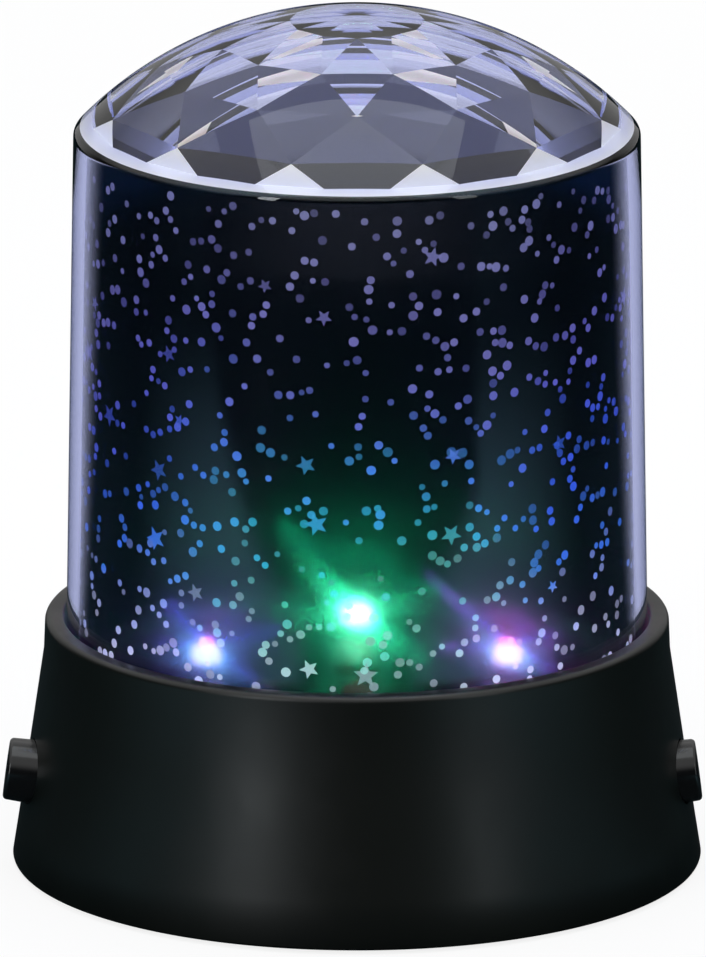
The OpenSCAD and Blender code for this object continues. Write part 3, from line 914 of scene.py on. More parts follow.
@dataclass
class BaseCasing:
    """Black conical shell, its bottom plate, battery door and feet."""

    foot_d: float = 114.7 * MM
    lean: float = 0.15
    wall: float = 2.2 * MM
    band_h: float = 6.0 * MM
    edge_r: float = 1.1 * MM
    lip_r: float = 0.4 * MM
    band_step: float = 0.2 * MM
    foot_edge: float = 0.6 * MM
    foot_turn: float = -8.5
    rows: tuple[float, ...] = (8.0 * MM, 17.0 * MM, 26.0 * MM)
    ring_inner_r: float = 48.6 * MM
    collar_z: float = 31.4 * MM
    button_z: float = 17.0 * MM
    button_forward: float = 8.4 * MM
    button_tilt: float = 8.0
    hole_r: float = 5.5 * MM
    hole_in: float = -9.0 * MM
    hole_out: float = 5.0 * MM
    port_w: float = 10.2 * MM
    port_h: float = 4.4 * MM
    port_z: float = 20.0 * MM
    port_y: float = 49.0 * MM
    port_depth: float = 9.0 * MM
    drill_steps: int = 64
    port_steps: int = 16
    sharp: float = 28.0
    steps: int = 240

    def radius(self, height: float) -> float:
        """Return the cone's outer radius at a height."""
        return self.foot_d / 2.0 - self.lean * height

    def outline(self) -> Profile:
        """Return the shell's section, from its inner foot round the outside and down inside."""
        low, high = (corner.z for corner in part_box("base_shell"))
        band_z = high - self.band_h
        ring_r = self.radius(band_z) - self.band_step
        foot_r = self.radius(low) - self.foot_edge
        points = [(self.radius(low) - self.wall, low)]
        points += arc((foot_r, low + self.foot_edge), self.foot_edge, -90.0, self.foot_turn, 5)
        points += [(self.radius(low + rise), low + rise) for rise in self.rows]
        points += [(self.radius(band_z), band_z)]
        points += arc((ring_r - self.edge_r, high - self.edge_r), self.edge_r, 0.0, 90.0, 8)
        lip = (self.ring_inner_r + self.lip_r, high - self.lip_r)
        points += arc(lip, self.lip_r, 90.0, 180.0, 5)
        points += [(self.ring_inner_r, self.collar_z)]
        points += [(self.radius(self.collar_z) - self.wall, self.collar_z)]
        return points

    def button_place(self, side: int) -> Matrix:
        """Return the frame of a button: +Z out of the wall, +X down it.

        Args:
            side: -1 for the left button and 1 for the right one.

        Returns:
            The matrix from the button's frame to the model's.
        """
        across = math.sqrt(self.radius(self.button_z) ** 2 - self.button_forward**2)
        place = Matrix.Translation((side * across, -self.button_forward, self.button_z))
        turn = Matrix.Rotation(0.0 if side > 0 else math.pi, 4, "Z")
        tilt = Matrix.Rotation(math.radians(90.0 - self.button_tilt), 4, "Y")
        return place @ turn @ tilt

    def cutters(self) -> list[Piece]:
        """Build the bodies that cut the button holes and the power port out of the shell."""
        tools = []
        for side in (-1, 1):
            rim = [(0.0, self.hole_in), (self.hole_r, self.hole_in)]
            rim += [(self.hole_r, self.hole_out), (0.0, self.hole_out)]
            drill = lathe(rim, self.drill_steps, closed=False)
            drill.transform(self.button_place(side))
            tools.append(finish_mesh(drill, f"drill_{side}", None))
        slot = bmesh.new()
        half = (self.port_w - self.port_h) / 2.0
        section = arc((half, 0.0), self.port_h / 2.0, -90.0, 90.0, self.port_steps)
        section += arc((-half, 0.0), self.port_h / 2.0, 90.0, 270.0, self.port_steps)
        corners = [slot.verts.new((x, self.port_y, self.port_z + z)) for x, z in section]
        face = slot.faces.new(corners)
        grown = bmesh.ops.extrude_face_region(slot, geom=[face])
        moved = [item for item in grown["geom"] if isinstance(item, bmesh.types.BMVert)]
        bmesh.ops.translate(slot, verts=moved, vec=(0.0, self.port_depth, 0.0))
        bmesh.ops.recalc_face_normals(slot, faces=slot.faces)
        tools.append(finish_mesh(slot, "port_cut", None))
        return tools

    def shell(self) -> Piece:
        """Build the shell with its holes."""
        body = lathe(self.outline(), self.steps)
        bmesh.ops.recalc_face_normals(body, faces=body.faces)
        shell = finish_mesh(body, "shell", None)
        tools = self.cutters()
        for tool in tools:
            cut = shell.modifiers.new("cut", "BOOLEAN")
            cut.operation = "DIFFERENCE"
            cut.solver = "EXACT"
            cut.object = tool
        bake_modifiers(shell)
        for tool in tools:
            bpy.data.objects.remove(tool)
        shade(shell.data, self.sharp)
        return shell

    def build(self, nodes: Nodes) -> None:
        """Build the shell and dress what belongs to the casing."""
        black = MouldedPlastic(
            "base_plastic",
            (0.0006, 0.0016, 0.0009),
            roughness=0.33,
            grain_depth=0.012 * MM,
            tone_change=0.3,
        ).make()
        shell = self.shell()
        shell.data.materials.append(black)
        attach(shell, "base")
        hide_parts("base_shell")
        dress(["bottom_plate", "battery_door"], nodes, black)
        rubber = MouldedPlastic("foot_rubber", (0.02, 0.021, 0.023), roughness=0.75).make()
        dress(["feet"], nodes, rubber)
        LOG.info("casing: shell with %d faces", len(shell.data.polygons))


@dataclass
class PushButton:
    """Round cap with a soft rim, its retaining ears and its stem."""

    casing: BaseCasing
    cap_r: float = 5.3 * MM
    taper: float = 0.15 * MM
    rim_r: float = 0.7 * MM
    dish: float = 0.2 * MM
    dish_share: Pair = (0.45, 0.6)
    back: float = -4.2 * MM
    rest_out: float = 4.0 * MM
    ear_t: float = 1.2 * MM
    ear_r: float = 6.8 * MM
    ear_h: float = 4.3 * MM
    stem_r: float = 2.6 * MM
    stem_back: float = -6.9 * MM
    steps: int = 96
    ear_steps: int = 72
    sharp: float = 35.0

    def cap(self, side: Side) -> Piece:
        """Build one cap in place.

        Args:
            side: which button.

        Returns:
            The cap with its ears and stem.
        """
        name, sign, out = side.value
        shift = out - self.rest_out
        back, stem_back = self.back + shift, self.stem_back + shift
        outline = [(0.0, stem_back), (self.stem_r, stem_back), (self.stem_r, back)]
        outline += [(self.cap_r, back), (self.cap_r, shift)]
        rim_x = self.cap_r - self.taper - self.rim_r
        outline += arc((rim_x, out - self.rim_r), self.rim_r, 0.0, 90.0, 10)
        across, down = self.dish_share
        outline += [(self.cap_r * across, out - self.dish * down), (0.0, out - self.dish)]
        body = lathe(outline, self.steps, closed=False)
        ears = bmesh.ops.create_cone(
            body,
            cap_ends=True,
            segments=self.ear_steps,
            radius1=self.ear_r,
            radius2=self.ear_r,
            depth=self.ear_t,
        )
        for vert in ears["verts"]:
            vert.co.z += back - self.ear_t / 2.0
            vert.co.x = max(-self.ear_h, min(self.ear_h, vert.co.x))
        bmesh.ops.recalc_face_normals(body, faces=body.faces)
        body.transform(self.casing.button_place(sign))
        return finish_mesh(body, f"{name}_cap", self.sharp)

    def build(self, nodes: Nodes) -> None:
        """Build both caps and dress the switches behind them."""
        gloss = MouldedPlastic(
            "button_gloss",
            (0.0022, 0.0026, 0.0030),
            roughness=0.14,
            gloss_change=0.05,
            grain_depth=0.004 * MM,
        ).make()
        for side in Side:
            cap = self.cap(side)
            cap.data.materials.append(gloss)
            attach(cap, side.value[0])
            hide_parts(side.value[0])
        acetal = MouldedPlastic("acetal", (0.72, 0.70, 0.64)).make()
        dress(["plunger_left", "plunger_right"], nodes, acetal)
        LOG.info("buttons: %d caps", len(Side))


# ---------------------------------------------------------------- cover


@dataclass
class ClearCover:
    """Clear tapered tube under a dome that is round outside and faceted inside."""

    low_r: float = 48.15 * MM
    low_r_z: float = 42.0 * MM
    top_r: float = 46.7 * MM
    shoulder_z: float = 124.1 * MM
    dome_rise: float = 20.1 * MM
    wall: float = 2.0 * MM
    corner_r: float = 1.5 * MM
    corner_start: float = 1.0
    floor_z: float = 29.0 * MM
    girdle_drop: float = 0.1 * MM
    facets: int = 12
    table_r: float = 41.8 * MM
    table_half_angle: float = 7.2
    rows: tuple = (
        (41.0 * MM, 4.2 * MM, 1),
        (32.0 * MM, 10.0 * MM, 0),
        (22.4 * MM, 14.2 * MM, 1),
        (11.0 * MM, 17.3 * MM, 0),
    )
    apex: float = 18.2 * MM
    lugs: int = 3
    lug_r: float = 49.7 * MM
    lug_root: float = 47.6 * MM
    lug_low: float = 29.02 * MM
    lug_top: float = 30.9 * MM
    lug_half_angle: float = 10.0
    weld: float = 0.004 * MM
    sharp: float = 30.0
    tube_rows: int = 8
    bore_rows: int = 6
    corner_steps: int = 8
    dome_steps: int = 56
    steps: int = 240

    @property
    def dome_r(self) -> float:
        """Radius of the dome's sphere."""
        return (self.top_r**2 + self.dome_rise**2) / (2.0 * self.dome_rise)

    @property
    def dome_z(self) -> float:
        """Height of the dome's centre."""
        return self.shoulder_z + self.dome_rise - self.dome_r

    @property
    def girdle_z(self) -> float:
        """Height of the ledge under the facets."""
        return self.shoulder_z - self.girdle_drop

    def outer(self, height: float) -> float:
        """Return the outer radius of the tube at a height."""
        slope = (self.low_r - self.top_r) / (self.shoulder_z - self.low_r_z)
        return self.low_r - slope * (height - self.low_r_z)

    def bore(self, height: float) -> float:
        """Return the inner radius of the tube at a height."""
        return self.outer(height) - self.wall

    def corner(self, row: int, index: int) -> Vector:
        """Return a facet corner.

        Args:
            row: the row of corners, 0 at the ledge.
            index: the corner's number around.

        Returns:
            Its place.
        """
        radius, height, turned = self.rows[row]
        angle = 2.0 * math.pi * (index + turned / 2.0) / self.facets
        return polar(radius, angle, self.girdle_z + height)

    def outside(self, mesh: BMesh) -> None:
        """Add the outer skin, from the foot of the tube to the top of the dome."""
        corner_x = self.top_r - self.corner_r
        corner_z = self.dome_z + math.sqrt((self.dome_r - self.corner_r) ** 2 - corner_x**2)
        corner_end = math.degrees(math.atan2(corner_z - self.dome_z, corner_x))
        heights = rows(self.floor_z, corner_z, self.tube_rows)
        outline = [(self.outer(z), z) for z in heights[:-1]]
        corner = (corner_x, corner_z)
        outline += arc(corner, self.corner_r, self.corner_start, corner_end, self.corner_steps)
        outline += arc((0.0, self.dome_z), self.dome_r, corner_end, 90.0, self.dome_steps)[1:-1]
        outline += [(0.0, self.dome_z + self.dome_r)]
        skin = lathe(outline, self.steps, closed=False)
        self.merge(mesh, skin)

    def inside(self, mesh: BMesh) -> None:
        """Add the bore and the rim at its foot."""
        heights = rows(self.floor_z, self.girdle_z, self.bore_rows)
        outline = [(self.outer(self.floor_z), self.floor_z)]
        outline += [(self.bore(z), z) for z in heights]
        self.merge(mesh, lathe(outline, self.steps, closed=False))

    def foot(self, index: int, side: int) -> Vector:
        """Return an end of a main facet's lower edge, which lies on the ledge.

        Args:
            index: the facet's number around.
            side: -1 for its first end and 1 for its last.

        Returns:
            The place.
        """
        angle = 2.0 * math.pi * index / self.facets + math.radians(side * self.table_half_angle)
        return polar(self.table_r, angle, self.girdle_z)

    def ledge(self, mesh: BMesh) -> None:
        """Join the round bore to the lower edges of the facets with a flat ring."""
        bore = self.bore(self.girdle_z)
        feet = [self.foot(index, side) for index in range(self.facets) for side in (-1, 1)]

        def nearest(angle: float) -> int:
            """Return the number of the foot nearest to an angle."""
            way = polar(1.0, angle, 0.0)
            return max(range(len(feet)), key=lambda number: way.dot(feet[number]))

        owner = nearest(-math.pi / self.steps)
        loops = []
        for step in range(self.steps):
            angles = [2.0 * math.pi * (step + part) / self.steps for part in (0.0, 0.5, 1.0)]
            edge = [polar(bore, angle, self.girdle_z) for angle in angles]
            after = nearest(angles[1])
            if after != owner:
                loops.append((feet[owner], edge[0], feet[after]))
            loops.append((feet[after], edge[0], edge[2]))
            owner = after
        for loop in loops:
            # slot 2 is the painted white facet finish: a painted reflection on the flat ring
            mesh.faces.new([mesh.verts.new(place) for place in loop]).material_index = 2

    def crown(self, mesh: BMesh) -> None:
        """Add the flat facets, row by row, and the points that meet at the top."""
        flats, painted_white = [], []
        for index in range(self.facets):
            left, right = self.foot(index, -1), self.foot(index, 1)
            corners = [self.corner(0, index - 1), self.corner(0, index)]
            flats += [(left, right, corners[1]), (left, corners[1], corners[0])]
            # the small triangles between main facets take slot 2, painted white as a painted
            # reflection
            painted_white.append((right, self.foot(index + 1, -1), corners[1]))
        for row in range(len(self.rows) - 1):
            rising = self.rows[row + 1][2] > self.rows[row][2]
            for index in range(self.facets):
                lower = [self.corner(row, index), self.corner(row, index + 1)]
                upper = [self.corner(row + 1, index), self.corner(row + 1, index + 1)]
                if rising:
                    triangles = ((lower[0], lower[1], upper[0]), (lower[1], upper[1], upper[0]))
                else:
                    triangles = ((lower[0], upper[1], upper[0]), (lower[0], lower[1], upper[1]))
                flats += triangles
        top = Vector((0.0, 0.0, self.girdle_z + self.apex))
        last = len(self.rows) - 1
        for index in range(self.facets):
            flats.append((self.corner(last, index), self.corner(last, index + 1), top))
        for slot, triangles in ((1, flats), (2, painted_white)):
            for triangle in triangles:
                face = mesh.faces.new([mesh.verts.new(place) for place in triangle])
                face.material_index = slot

    def lug_ring(self, mesh: BMesh) -> None:
        """Add the three lugs that sit in the turntable's notches."""
        for lug in range(self.lugs):
            middle, half = 2.0 * math.pi * lug / self.lugs, math.radians(self.lug_half_angle)
            section = [middle + half * (step / 4.0 - 1.0) for step in range(9)]
            loop = [(self.lug_r, angle) for angle in section]
            loop += [(self.lug_root, angle) for angle in reversed(section)]
            low, high = (
                [mesh.verts.new(polar(radius, angle, z)) for radius, angle in loop]
                for z in (self.lug_low, self.lug_top)
            )
            count = len(loop)
            mesh.faces.new(list(reversed(low)))
            mesh.faces.new(high)
            for step in range(count):
                after = (step + 1) % count
                mesh.faces.new((low[step], low[after], high[after], high[step]))

    @staticmethod
    def merge(mesh: BMesh, part: BMesh) -> None:
        """Copy a mesh into another and free it."""
        data = bpy.data.meshes.new("part")
        part.to_mesh(data)
        part.free()
        mesh.from_mesh(data)
        bpy.data.meshes.remove(data)

    def piece(self) -> Piece:
        """Build the cover as one closed body with lugs."""
        mesh = bmesh.new()
        self.outside(mesh)
        self.inside(mesh)
        self.ledge(mesh)
        self.crown(mesh)
        bmesh.ops.remove_doubles(mesh, verts=mesh.verts, dist=self.weld)
        bmesh.ops.recalc_face_normals(mesh, faces=mesh.faces)
        open_edges = sum(1 for edge in mesh.edges if not edge.is_manifold)
        self.lug_ring(mesh)
        data = bpy.data.meshes.new("cover")
        mesh.to_mesh(data)
        mesh.free()
        data.set_sharp_from_angle(angle=math.radians(self.sharp))
        for polygon in data.polygons:
            polygon.use_smooth = polygon.material_index == 0
            polygon.material_index = max(0, polygon.material_index - 1)
        LOG.info("cover: %d faces, %d open edges", len(data.polygons), open_edges)
        return new_object("cover", data)

    def build(self) -> None:
        """Build and dress the cover."""
        piece = self.piece()
        piece.data.materials.append(ClearAcrylic("clear_acrylic").make())
        piece.data.materials.append(PaintedWhiteFacet("painted_white_facet").make())
        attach(piece, "turntable")
        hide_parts("clear_cover")


# ---------------------------------------------------------------- film


@dataclass
class StarFilm:
    """Dark sleeve inside the cover, with dots and stars spread over it."""

    cover: ClearCover
    gap: float = 0.12 * MM
    thickness: float = 0.2 * MM
    window_lift: float = 0.05 * MM
    margin: float = 0.952 * MM
    hidden: float = 13.0 * MM
    dot_r: float = 0.68 * MM
    star_r: float = 2.15 * MM
    dots: float = 98000.0
    spacing: float = 2.7 * MM
    dot_sides: int = 11
    dot_scale: Pair = (0.72, 1.24)
    chains: tuple[float, ...] = (0.5, 0.4, 0.25)
    chain_bend: float = 0.9
    chain_reach: Pair = (2.15, 3.1)
    merged: float = 1.7
    stars: float = 2600.0
    star_spacing: float = 9.0 * MM
    star_points: int = 5
    star_waist: float = 0.44
    star_scale: Pair = (0.5, 1.0)
    edge_room: float = 1.3
    seed: int = 11
    sharp: float = 30.0
    rows: int = 6
    steps: int = 240

    @property
    def low(self) -> float:
        """Lower edge of the film."""
        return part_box("star_film")[0].z

    @property
    def high(self) -> float:
        """Upper edge of the film."""
        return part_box("star_film")[1].z

    def radius(self, height: float) -> float:
        """Return the film's outer radius at a height."""
        return self.cover.bore(height) - self.gap

    def sleeve(self) -> Piece:
        """Build the sleeve: faces of slot 0 outside and of slot 1 inside."""
        heights = rows(self.low, self.high, self.rows)
        outline = [(self.radius(z), z) for z in heights]
        outline += [(self.radius(z) - self.thickness, z) for z in reversed(heights)]
        body = lathe(outline, self.steps)
        bmesh.ops.recalc_face_normals(body, faces=body.faces)
        for face in body.faces:
            middle = face.calc_center_median()
            outward = face.normal.x * middle.x + face.normal.y * middle.y
            face.material_index = 0 if outward >= -1e-9 else 1
        return finish_mesh(body, "film", self.sharp)

    @property
    def inputs(self) -> dict[str, float]:
        """The inputs of the tree that spreads the windows, with their values."""
        low, high = self.low + self.margin, self.high - self.margin
        return {
            "Length": 2.0 * math.pi * self.radius((low + high) / 2.0),
            "Height": high - low,
            "Low": low,
            "Radius": self.radius(low) + self.window_lift,
            "Taper": (self.radius(low) - self.radius(high)) / (high - low),
            "Dot radius": self.dot_r,
            "Star radius": self.star_r,
            "Dot density": self.dots,
            "Dot spacing": self.spacing,
            "Star density": self.stars,
            "Seed": self.seed,
        }

    def tree(self, material: bpy.types.Material) -> bpy.types.NodeTree:
        """Build the tree that spreads dots and stars over the unrolled film and rolls it up.

        Args:
            material: what the windows are dressed in.

        Returns:
            The Geometry Nodes tree.
        """
        group = bpy.data.node_groups.new("film_windows", "GeometryNodeTree")
        make = group.interface.new_socket
        make("Geometry", in_out="INPUT", socket_type="NodeSocketGeometry")
        for label, value in self.inputs.items():
            kind = "NodeSocketInt" if isinstance(value, int) else "NodeSocketFloat"
            make(label, in_out="INPUT", socket_type=kind)
        make("Geometry", in_out="OUTPUT", socket_type="NodeSocketGeometry")
        graph = Graph(group)
        given = graph.add("NodeGroupInput").outputs
        sheet = graph.add("GeometryNodeMeshGrid")
        length, height, seed = given["Length"], given["Height"], given["Seed"]
        dot_r, star_r = given["Dot radius"], given["Star radius"]
        graph.feed(sheet, Size_X=length, Size_Y=height, Vertices_X=2, Vertices_Y=2)
        flat = sheet.outputs["Mesh"]
        dots = self.scatter(graph, flat, given["Dot density"], given["Dot spacing"], seed)
        dots = self.within(graph, self.chains_of(graph, dots, dot_r, seed), height, dot_r)
        disc = graph.add("GeometryNodeMeshCircle", fill_type="NGON")
        graph.feed(disc, Vertices=self.dot_sides, Radius=dot_r)
        discs = self.stamp(graph, dots, disc.outputs["Mesh"], self.dot_scale, seed, 3)
        star_seed = graph.math("ADD", seed, 5.0)
        stars = self.scatter(graph, flat, given["Star density"], self.star_spacing, star_seed)
        stars = self.within(graph, stars, height, star_r)
        outline = graph.add("GeometryNodeCurveStar")
        waist = graph.math("MULTIPLY", star_r, self.star_waist)
        graph.feed(outline, Points=self.star_points, Inner_Radius=waist, Outer_Radius=star_r)
        filled = graph.add("GeometryNodeFillCurve")
        graph.feed(filled, Curve=outline.outputs["Curve"])
        pointed = self.stamp(graph, stars, filled.outputs["Mesh"], self.star_scale, seed, 7)
        both = graph.add("GeometryNodeJoinGeometry")
        graph.join(pointed, both.inputs[0])
        graph.join(discs, both.inputs[0])
        real = graph.add("GeometryNodeRealizeInstances")
        graph.join(both.outputs[0], real.inputs[0])
        rolled = self.roll(graph, real.outputs[0], given)
        dressed = graph.add("GeometryNodeSetMaterial")
        graph.feed(dressed, Geometry=rolled, Material=material)
        graph.join(dressed.outputs[0], graph.add("NodeGroupOutput").inputs[0])
        return group

    @staticmethod
    def scatter(
        graph: Graph, sheet: Socket, density: object, spacing: object, seed: object
    ) -> Socket:
        """Scatter points over the unrolled film, no two nearer than a spacing, and return them."""
        node = graph.add("GeometryNodeDistributePointsOnFaces", distribute_method="POISSON")
        graph.feed(node, Mesh=sheet, Distance_Min=spacing, Density_Max=density, Seed=seed)
        return node.outputs["Points"]

    def within(self, graph: Graph, points: Socket, height: object, radius: object) -> Socket:
        """Drop the points whose shape would reach past the sheet's upper or lower edge.

        Args:
            graph: the tree.
            points: the points.
            height: height of the sheet, whose middle is at 0.
            radius: radius of the shape before it is scaled.

        Returns:
            The points that are left.
        """
        place = graph.parts(graph.add("GeometryNodeInputPosition").outputs[0])
        half = graph.math("MULTIPLY", height, 0.5)
        room = graph.math("SUBTRACT", half, graph.math("MULTIPLY", radius, self.edge_room))
        past = graph.math("GREATER_THAN", graph.math("ABSOLUTE", place["Y"]), room)
        kept = graph.add("GeometryNodeDeleteGeometry", domain="POINT")
        return graph.feed(kept, Geometry=points, Selection=past).outputs[0]

    @staticmethod
    def pick(graph: Graph, low: object, high: object, seed: object) -> Socket:
        """Add a random number for each point and return it."""
        node = graph.add("FunctionNodeRandomValue", data_type="FLOAT")
        graph.join(low, node.inputs[2])
        graph.join(high, node.inputs[3])
        graph.join(seed, node.inputs["Seed"])
        return node.outputs[1]

    def chains_of(self, graph: Graph, points: Socket, dot_r: object, seed: object) -> Socket:
        """Let dots run in short bent chains: each link keeps a share of the points and moves on.

        Args:
            graph: the tree.
            points: the points to start from.
            dot_r: radius of a dot.
            seed: seed for the choices.

        Returns:
            All the points, with those that would overlap merged.
        """
        course = self.pick(graph, -math.pi, math.pi, graph.math("ADD", seed, 1.0))
        least, most = (graph.math("MULTIPLY", dot_r, part) for part in self.chain_reach)
        every = graph.add("GeometryNodeJoinGeometry")
        graph.join(points, every.inputs[0])
        last = points
        for link, share in enumerate(self.chains):
            base = 20.0 + 10.0 * link
            chance, bend, reach = (
                self.pick(graph, low, high, graph.math("ADD", seed, base + offset))
                for low, high, offset in (
                    (0.0, 1.0, 0.0),
                    (-self.chain_bend, self.chain_bend, 1.0),
                    (least, most, 2.0),
                )
            )
            fewer = graph.add("GeometryNodeDeleteGeometry", domain="POINT")
            dropped = graph.math("GREATER_THAN", chance, share)
            graph.feed(fewer, Geometry=last, Selection=dropped)
            angle = graph.math("ADD", course, bend)
            step = graph.add("ShaderNodeCombineXYZ")
            for axis, turn in (("X", "COSINE"), ("Y", "SINE")):
                part = graph.math("MULTIPLY", graph.math(turn, angle), reach)
                graph.join(part, step.inputs[axis])
            moved = graph.add("GeometryNodeSetPosition")
            graph.feed(moved, Geometry=fewer.outputs[0], Offset=step.outputs[0])
            graph.join(moved.outputs[0], every.inputs[0])
            last = moved.outputs[0]
        apart = graph.add("GeometryNodeMergeByDistance")
        overlap = graph.math("MULTIPLY", dot_r, self.merged)
        graph.feed(apart, Geometry=every.outputs[0], Distance=overlap)
        return apart.outputs[0]

    def stamp(
        self,
        graph: Graph,
        points: Socket,
        shape: Socket,
        sizes: Pair,
        seed: object,
        offset: int,
    ) -> Socket:
        """Put a shape on every point, turned and scaled at random, with a random tint.

        Args:
            graph: the tree.
            points: where the shapes go.
            shape: the flat shape.
            sizes: least and greatest scale.
            seed: seed for the choices.
            offset: what is added to the seed, so that no two kinds agree.

        Returns:
            The instances.
        """
        turn = graph.add("FunctionNodeRandomValue", data_type="FLOAT_VECTOR")
        turn.inputs[0].default_value = (0.0, 0.0, -math.pi)
        turn.inputs[1].default_value = (0.0, 0.0, math.pi)
        graph.join(graph.math("ADD", seed, float(offset)), turn.inputs["Seed"])
        size = self.pick(graph, *sizes, graph.math("ADD", seed, float(offset + 1)))
        tint = self.pick(graph, 0.0, 1.0, graph.math("ADD", seed, float(offset + 2)))
        node = graph.add("GeometryNodeInstanceOnPoints")
        graph.feed(node, Points=points, Instance=shape, Rotation=turn.outputs[0], Scale=size)
        store = graph.add("GeometryNodeStoreNamedAttribute", data_type="FLOAT", domain="INSTANCE")
        graph.feed(store, Geometry=node.outputs[0], Name="window_tint")
        value = next(s for s in store.inputs if s.name == "Value" and s.enabled)
        graph.join(tint, value)
        return store.outputs[0]

    @staticmethod
    def roll(graph: Graph, flat: Socket, given: Sockets) -> Socket:
        """Roll the flat sheet round the vertical axis, its middle to the front.

        Args:
            graph: the tree.
            flat: the sheet with its windows, in the XY plane.
            given: the tree's inputs.

        Returns:
            The rolled geometry.
        """
        place = graph.parts(graph.add("GeometryNodeInputPosition").outputs[0])
        angle = graph.math(
            "MULTIPLY", graph.math("DIVIDE", place["X"], given["Length"]), 2.0 * math.pi
        )
        rise = graph.math("ADD", place["Y"], graph.math("MULTIPLY", given["Height"], 0.5))
        inward = graph.math("MULTIPLY", rise, given["Taper"])
        radius = graph.math("SUBTRACT", given["Radius"], inward)
        rolled = graph.add("ShaderNodeCombineXYZ")
        back = graph.math("MULTIPLY", graph.math("COSINE", angle), radius)
        graph.feed(
            rolled,
            X=graph.math("MULTIPLY", graph.math("SINE", angle), radius),
            Y=graph.math("MULTIPLY", back, -1.0),
            Z=graph.math("ADD", rise, given["Low"]),
        )
        moved = graph.add("GeometryNodeSetPosition")
        return graph.feed(moved, Geometry=flat, Position=rolled.outputs[0]).outputs[0]

    def windows(self, material: bpy.types.Material) -> Piece:
        """Build the dots and stars as one mesh.

        Args:
            material: what they are dressed in.

        Returns:
            The windows, lying just outside the film.
        """
        piece = new_object("film_stars", bpy.data.meshes.new("film_stars"))
        spread = piece.modifiers.new("windows", "NODES")
        spread.node_group = self.tree(material)
        for item in spread.node_group.interface.items_tree:
            if item.name in self.inputs:
                spread[item.identifier] = self.inputs[item.name]
        bake_modifiers(piece)
        return piece

    def build(self) -> None:
        """Build and dress the film and its windows."""
        sleeve = self.sleeve()
        sleeve.data.materials.append(DarkFilm("film_front").make())
        sleeve.data.materials.append(FilmBack("film_back").make())
        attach(sleeve, "turntable")
        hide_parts("star_film")
        windows = self.windows(FilmWindow("film_window", self.low + self.hidden, self.high).make())
        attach(windows, "turntable")
        LOG.info("film: %d windows' faces", len(windows.data.polygons))


# ---------------------------------------------------------------- inside


@dataclass
class LampDeck:
    """Deck, lamp board and the four lamps."""

    dome_h: float = 2.6 * MM
    tip_r: float = 0.9 * MM
    tip_sink: float = 0.25 * MM
    tip_pole: float = 80.0
    tip_rows: int = 10
    tip_steps: int = 24

    def tip(self, node: str, top: Vector, colour: Colour) -> None:
        """Set the bright point of a lamp, where its die shows through the dome.

        Args:
            node: the lamp's node.
            top: the top of its dome.
            colour: its colour and strength.
        """
        round_part = arc((0.0, 0.0), self.tip_r, -self.tip_pole, self.tip_pole, self.tip_rows)
        outline = [(0.0, -self.tip_r), *round_part, (0.0, self.tip_r)]
        mesh = lathe(outline, self.tip_steps, closed=False)
        mesh.transform(Matrix.Translation(top - Vector((0.0, 0.0, self.tip_sink))))
        bmesh.ops.recalc_face_normals(mesh, faces=mesh.faces)
        piece = finish_mesh(mesh, f"{node}_tip", 180.0)
        piece.data.materials.append(LampEpoxy(f"{node}_bright", colour, colour, top.z).make())
        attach(piece, "base")

    def build(self, nodes: Nodes) -> None:
        """Dress the lamps and what they stand on."""
        for lamp in Lamp:
            node, sides, dome, bright = lamp.value
            low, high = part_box(node)
            epoxy = LampEpoxy(f"{node}_epoxy", sides, dome, high.z - self.dome_h)
            dress([node], nodes, epoxy.make())
            middle = (low + high) / 2.0
            self.tip(node, Vector((middle.x, middle.y, high.z)), bright)
        deck = MouldedPlastic("deck_black", (0.004, 0.0045, 0.005), roughness=0.5).make()
        dress(["light_deck"], nodes, deck)
        board = SolderMask("lamp_board", (0.004, 0.010, 0.007), (0.012, 0.024, 0.018)).make()
        dress(["led_board"], nodes, board)
        LOG.info("lamps: %d", len(Lamp))


@dataclass
class Works:
    """Everything else inside the base: drive, boards, batteries, wires and fasteners."""

    def build(self, nodes: Nodes) -> None:
        """Dress the inner pieces."""
        plastics = (
            ("inner_plastic", (0.018, 0.019, 0.022), 0.45, "battery_box carrier turntable"),
            ("chip_black", (0.010, 0.010, 0.011), 0.5, "control_chip switch_left switch_right"),
            ("sleeve_blue", (0.012, 0.02, 0.14), 0.25, "capacitor"),
            ("wire_red", (0.35, 0.012, 0.012), 0.35, "battery_wires motor_wires led_wires"),
            ("wire_grey", (0.42, 0.42, 0.42), 0.35, "switch_wires"),
        )
        for name, colour, roughness, dressed in plastics:
            dress(dressed.split(), nodes, MouldedPlastic(name, colour, roughness=roughness).make())
        acetal = MouldedPlastic(
            "natural_acetal", (0.74, 0.72, 0.66), roughness=0.42, tone_change=0.06
        ).make()
        dress(["gearbox_case", "pinion"], nodes, acetal)
        steel = PlatedMetal("plated_steel", (0.62, 0.63, 0.65)).make()
        fasteners = ["bottom_screws", "door_screw", "carrier_screws", "motor_screws", "deck_screws"]
        dress([*fasteners, "led_board_screws", "board_screws"], nodes, steel)
        bright = PlatedMetal("nickel_plate", (0.72, 0.70, 0.66), roughness=0.2).make()
        contacts = ["contact_springs", "contact_plates"]
        dress([*contacts, "output_shaft", "usb_socket", "motor_can"], nodes, bright)
        dress(["aaa_cells"], nodes, CellWrap("cell_wrap").make())
        green = SolderMask("main_board_mask", (0.012, 0.10, 0.045), (0.02, 0.16, 0.07)).make()
        dress(["main_board"], nodes, green)
        LOG.info("works: dressed")


# ---------------------------------------------------------------- studio


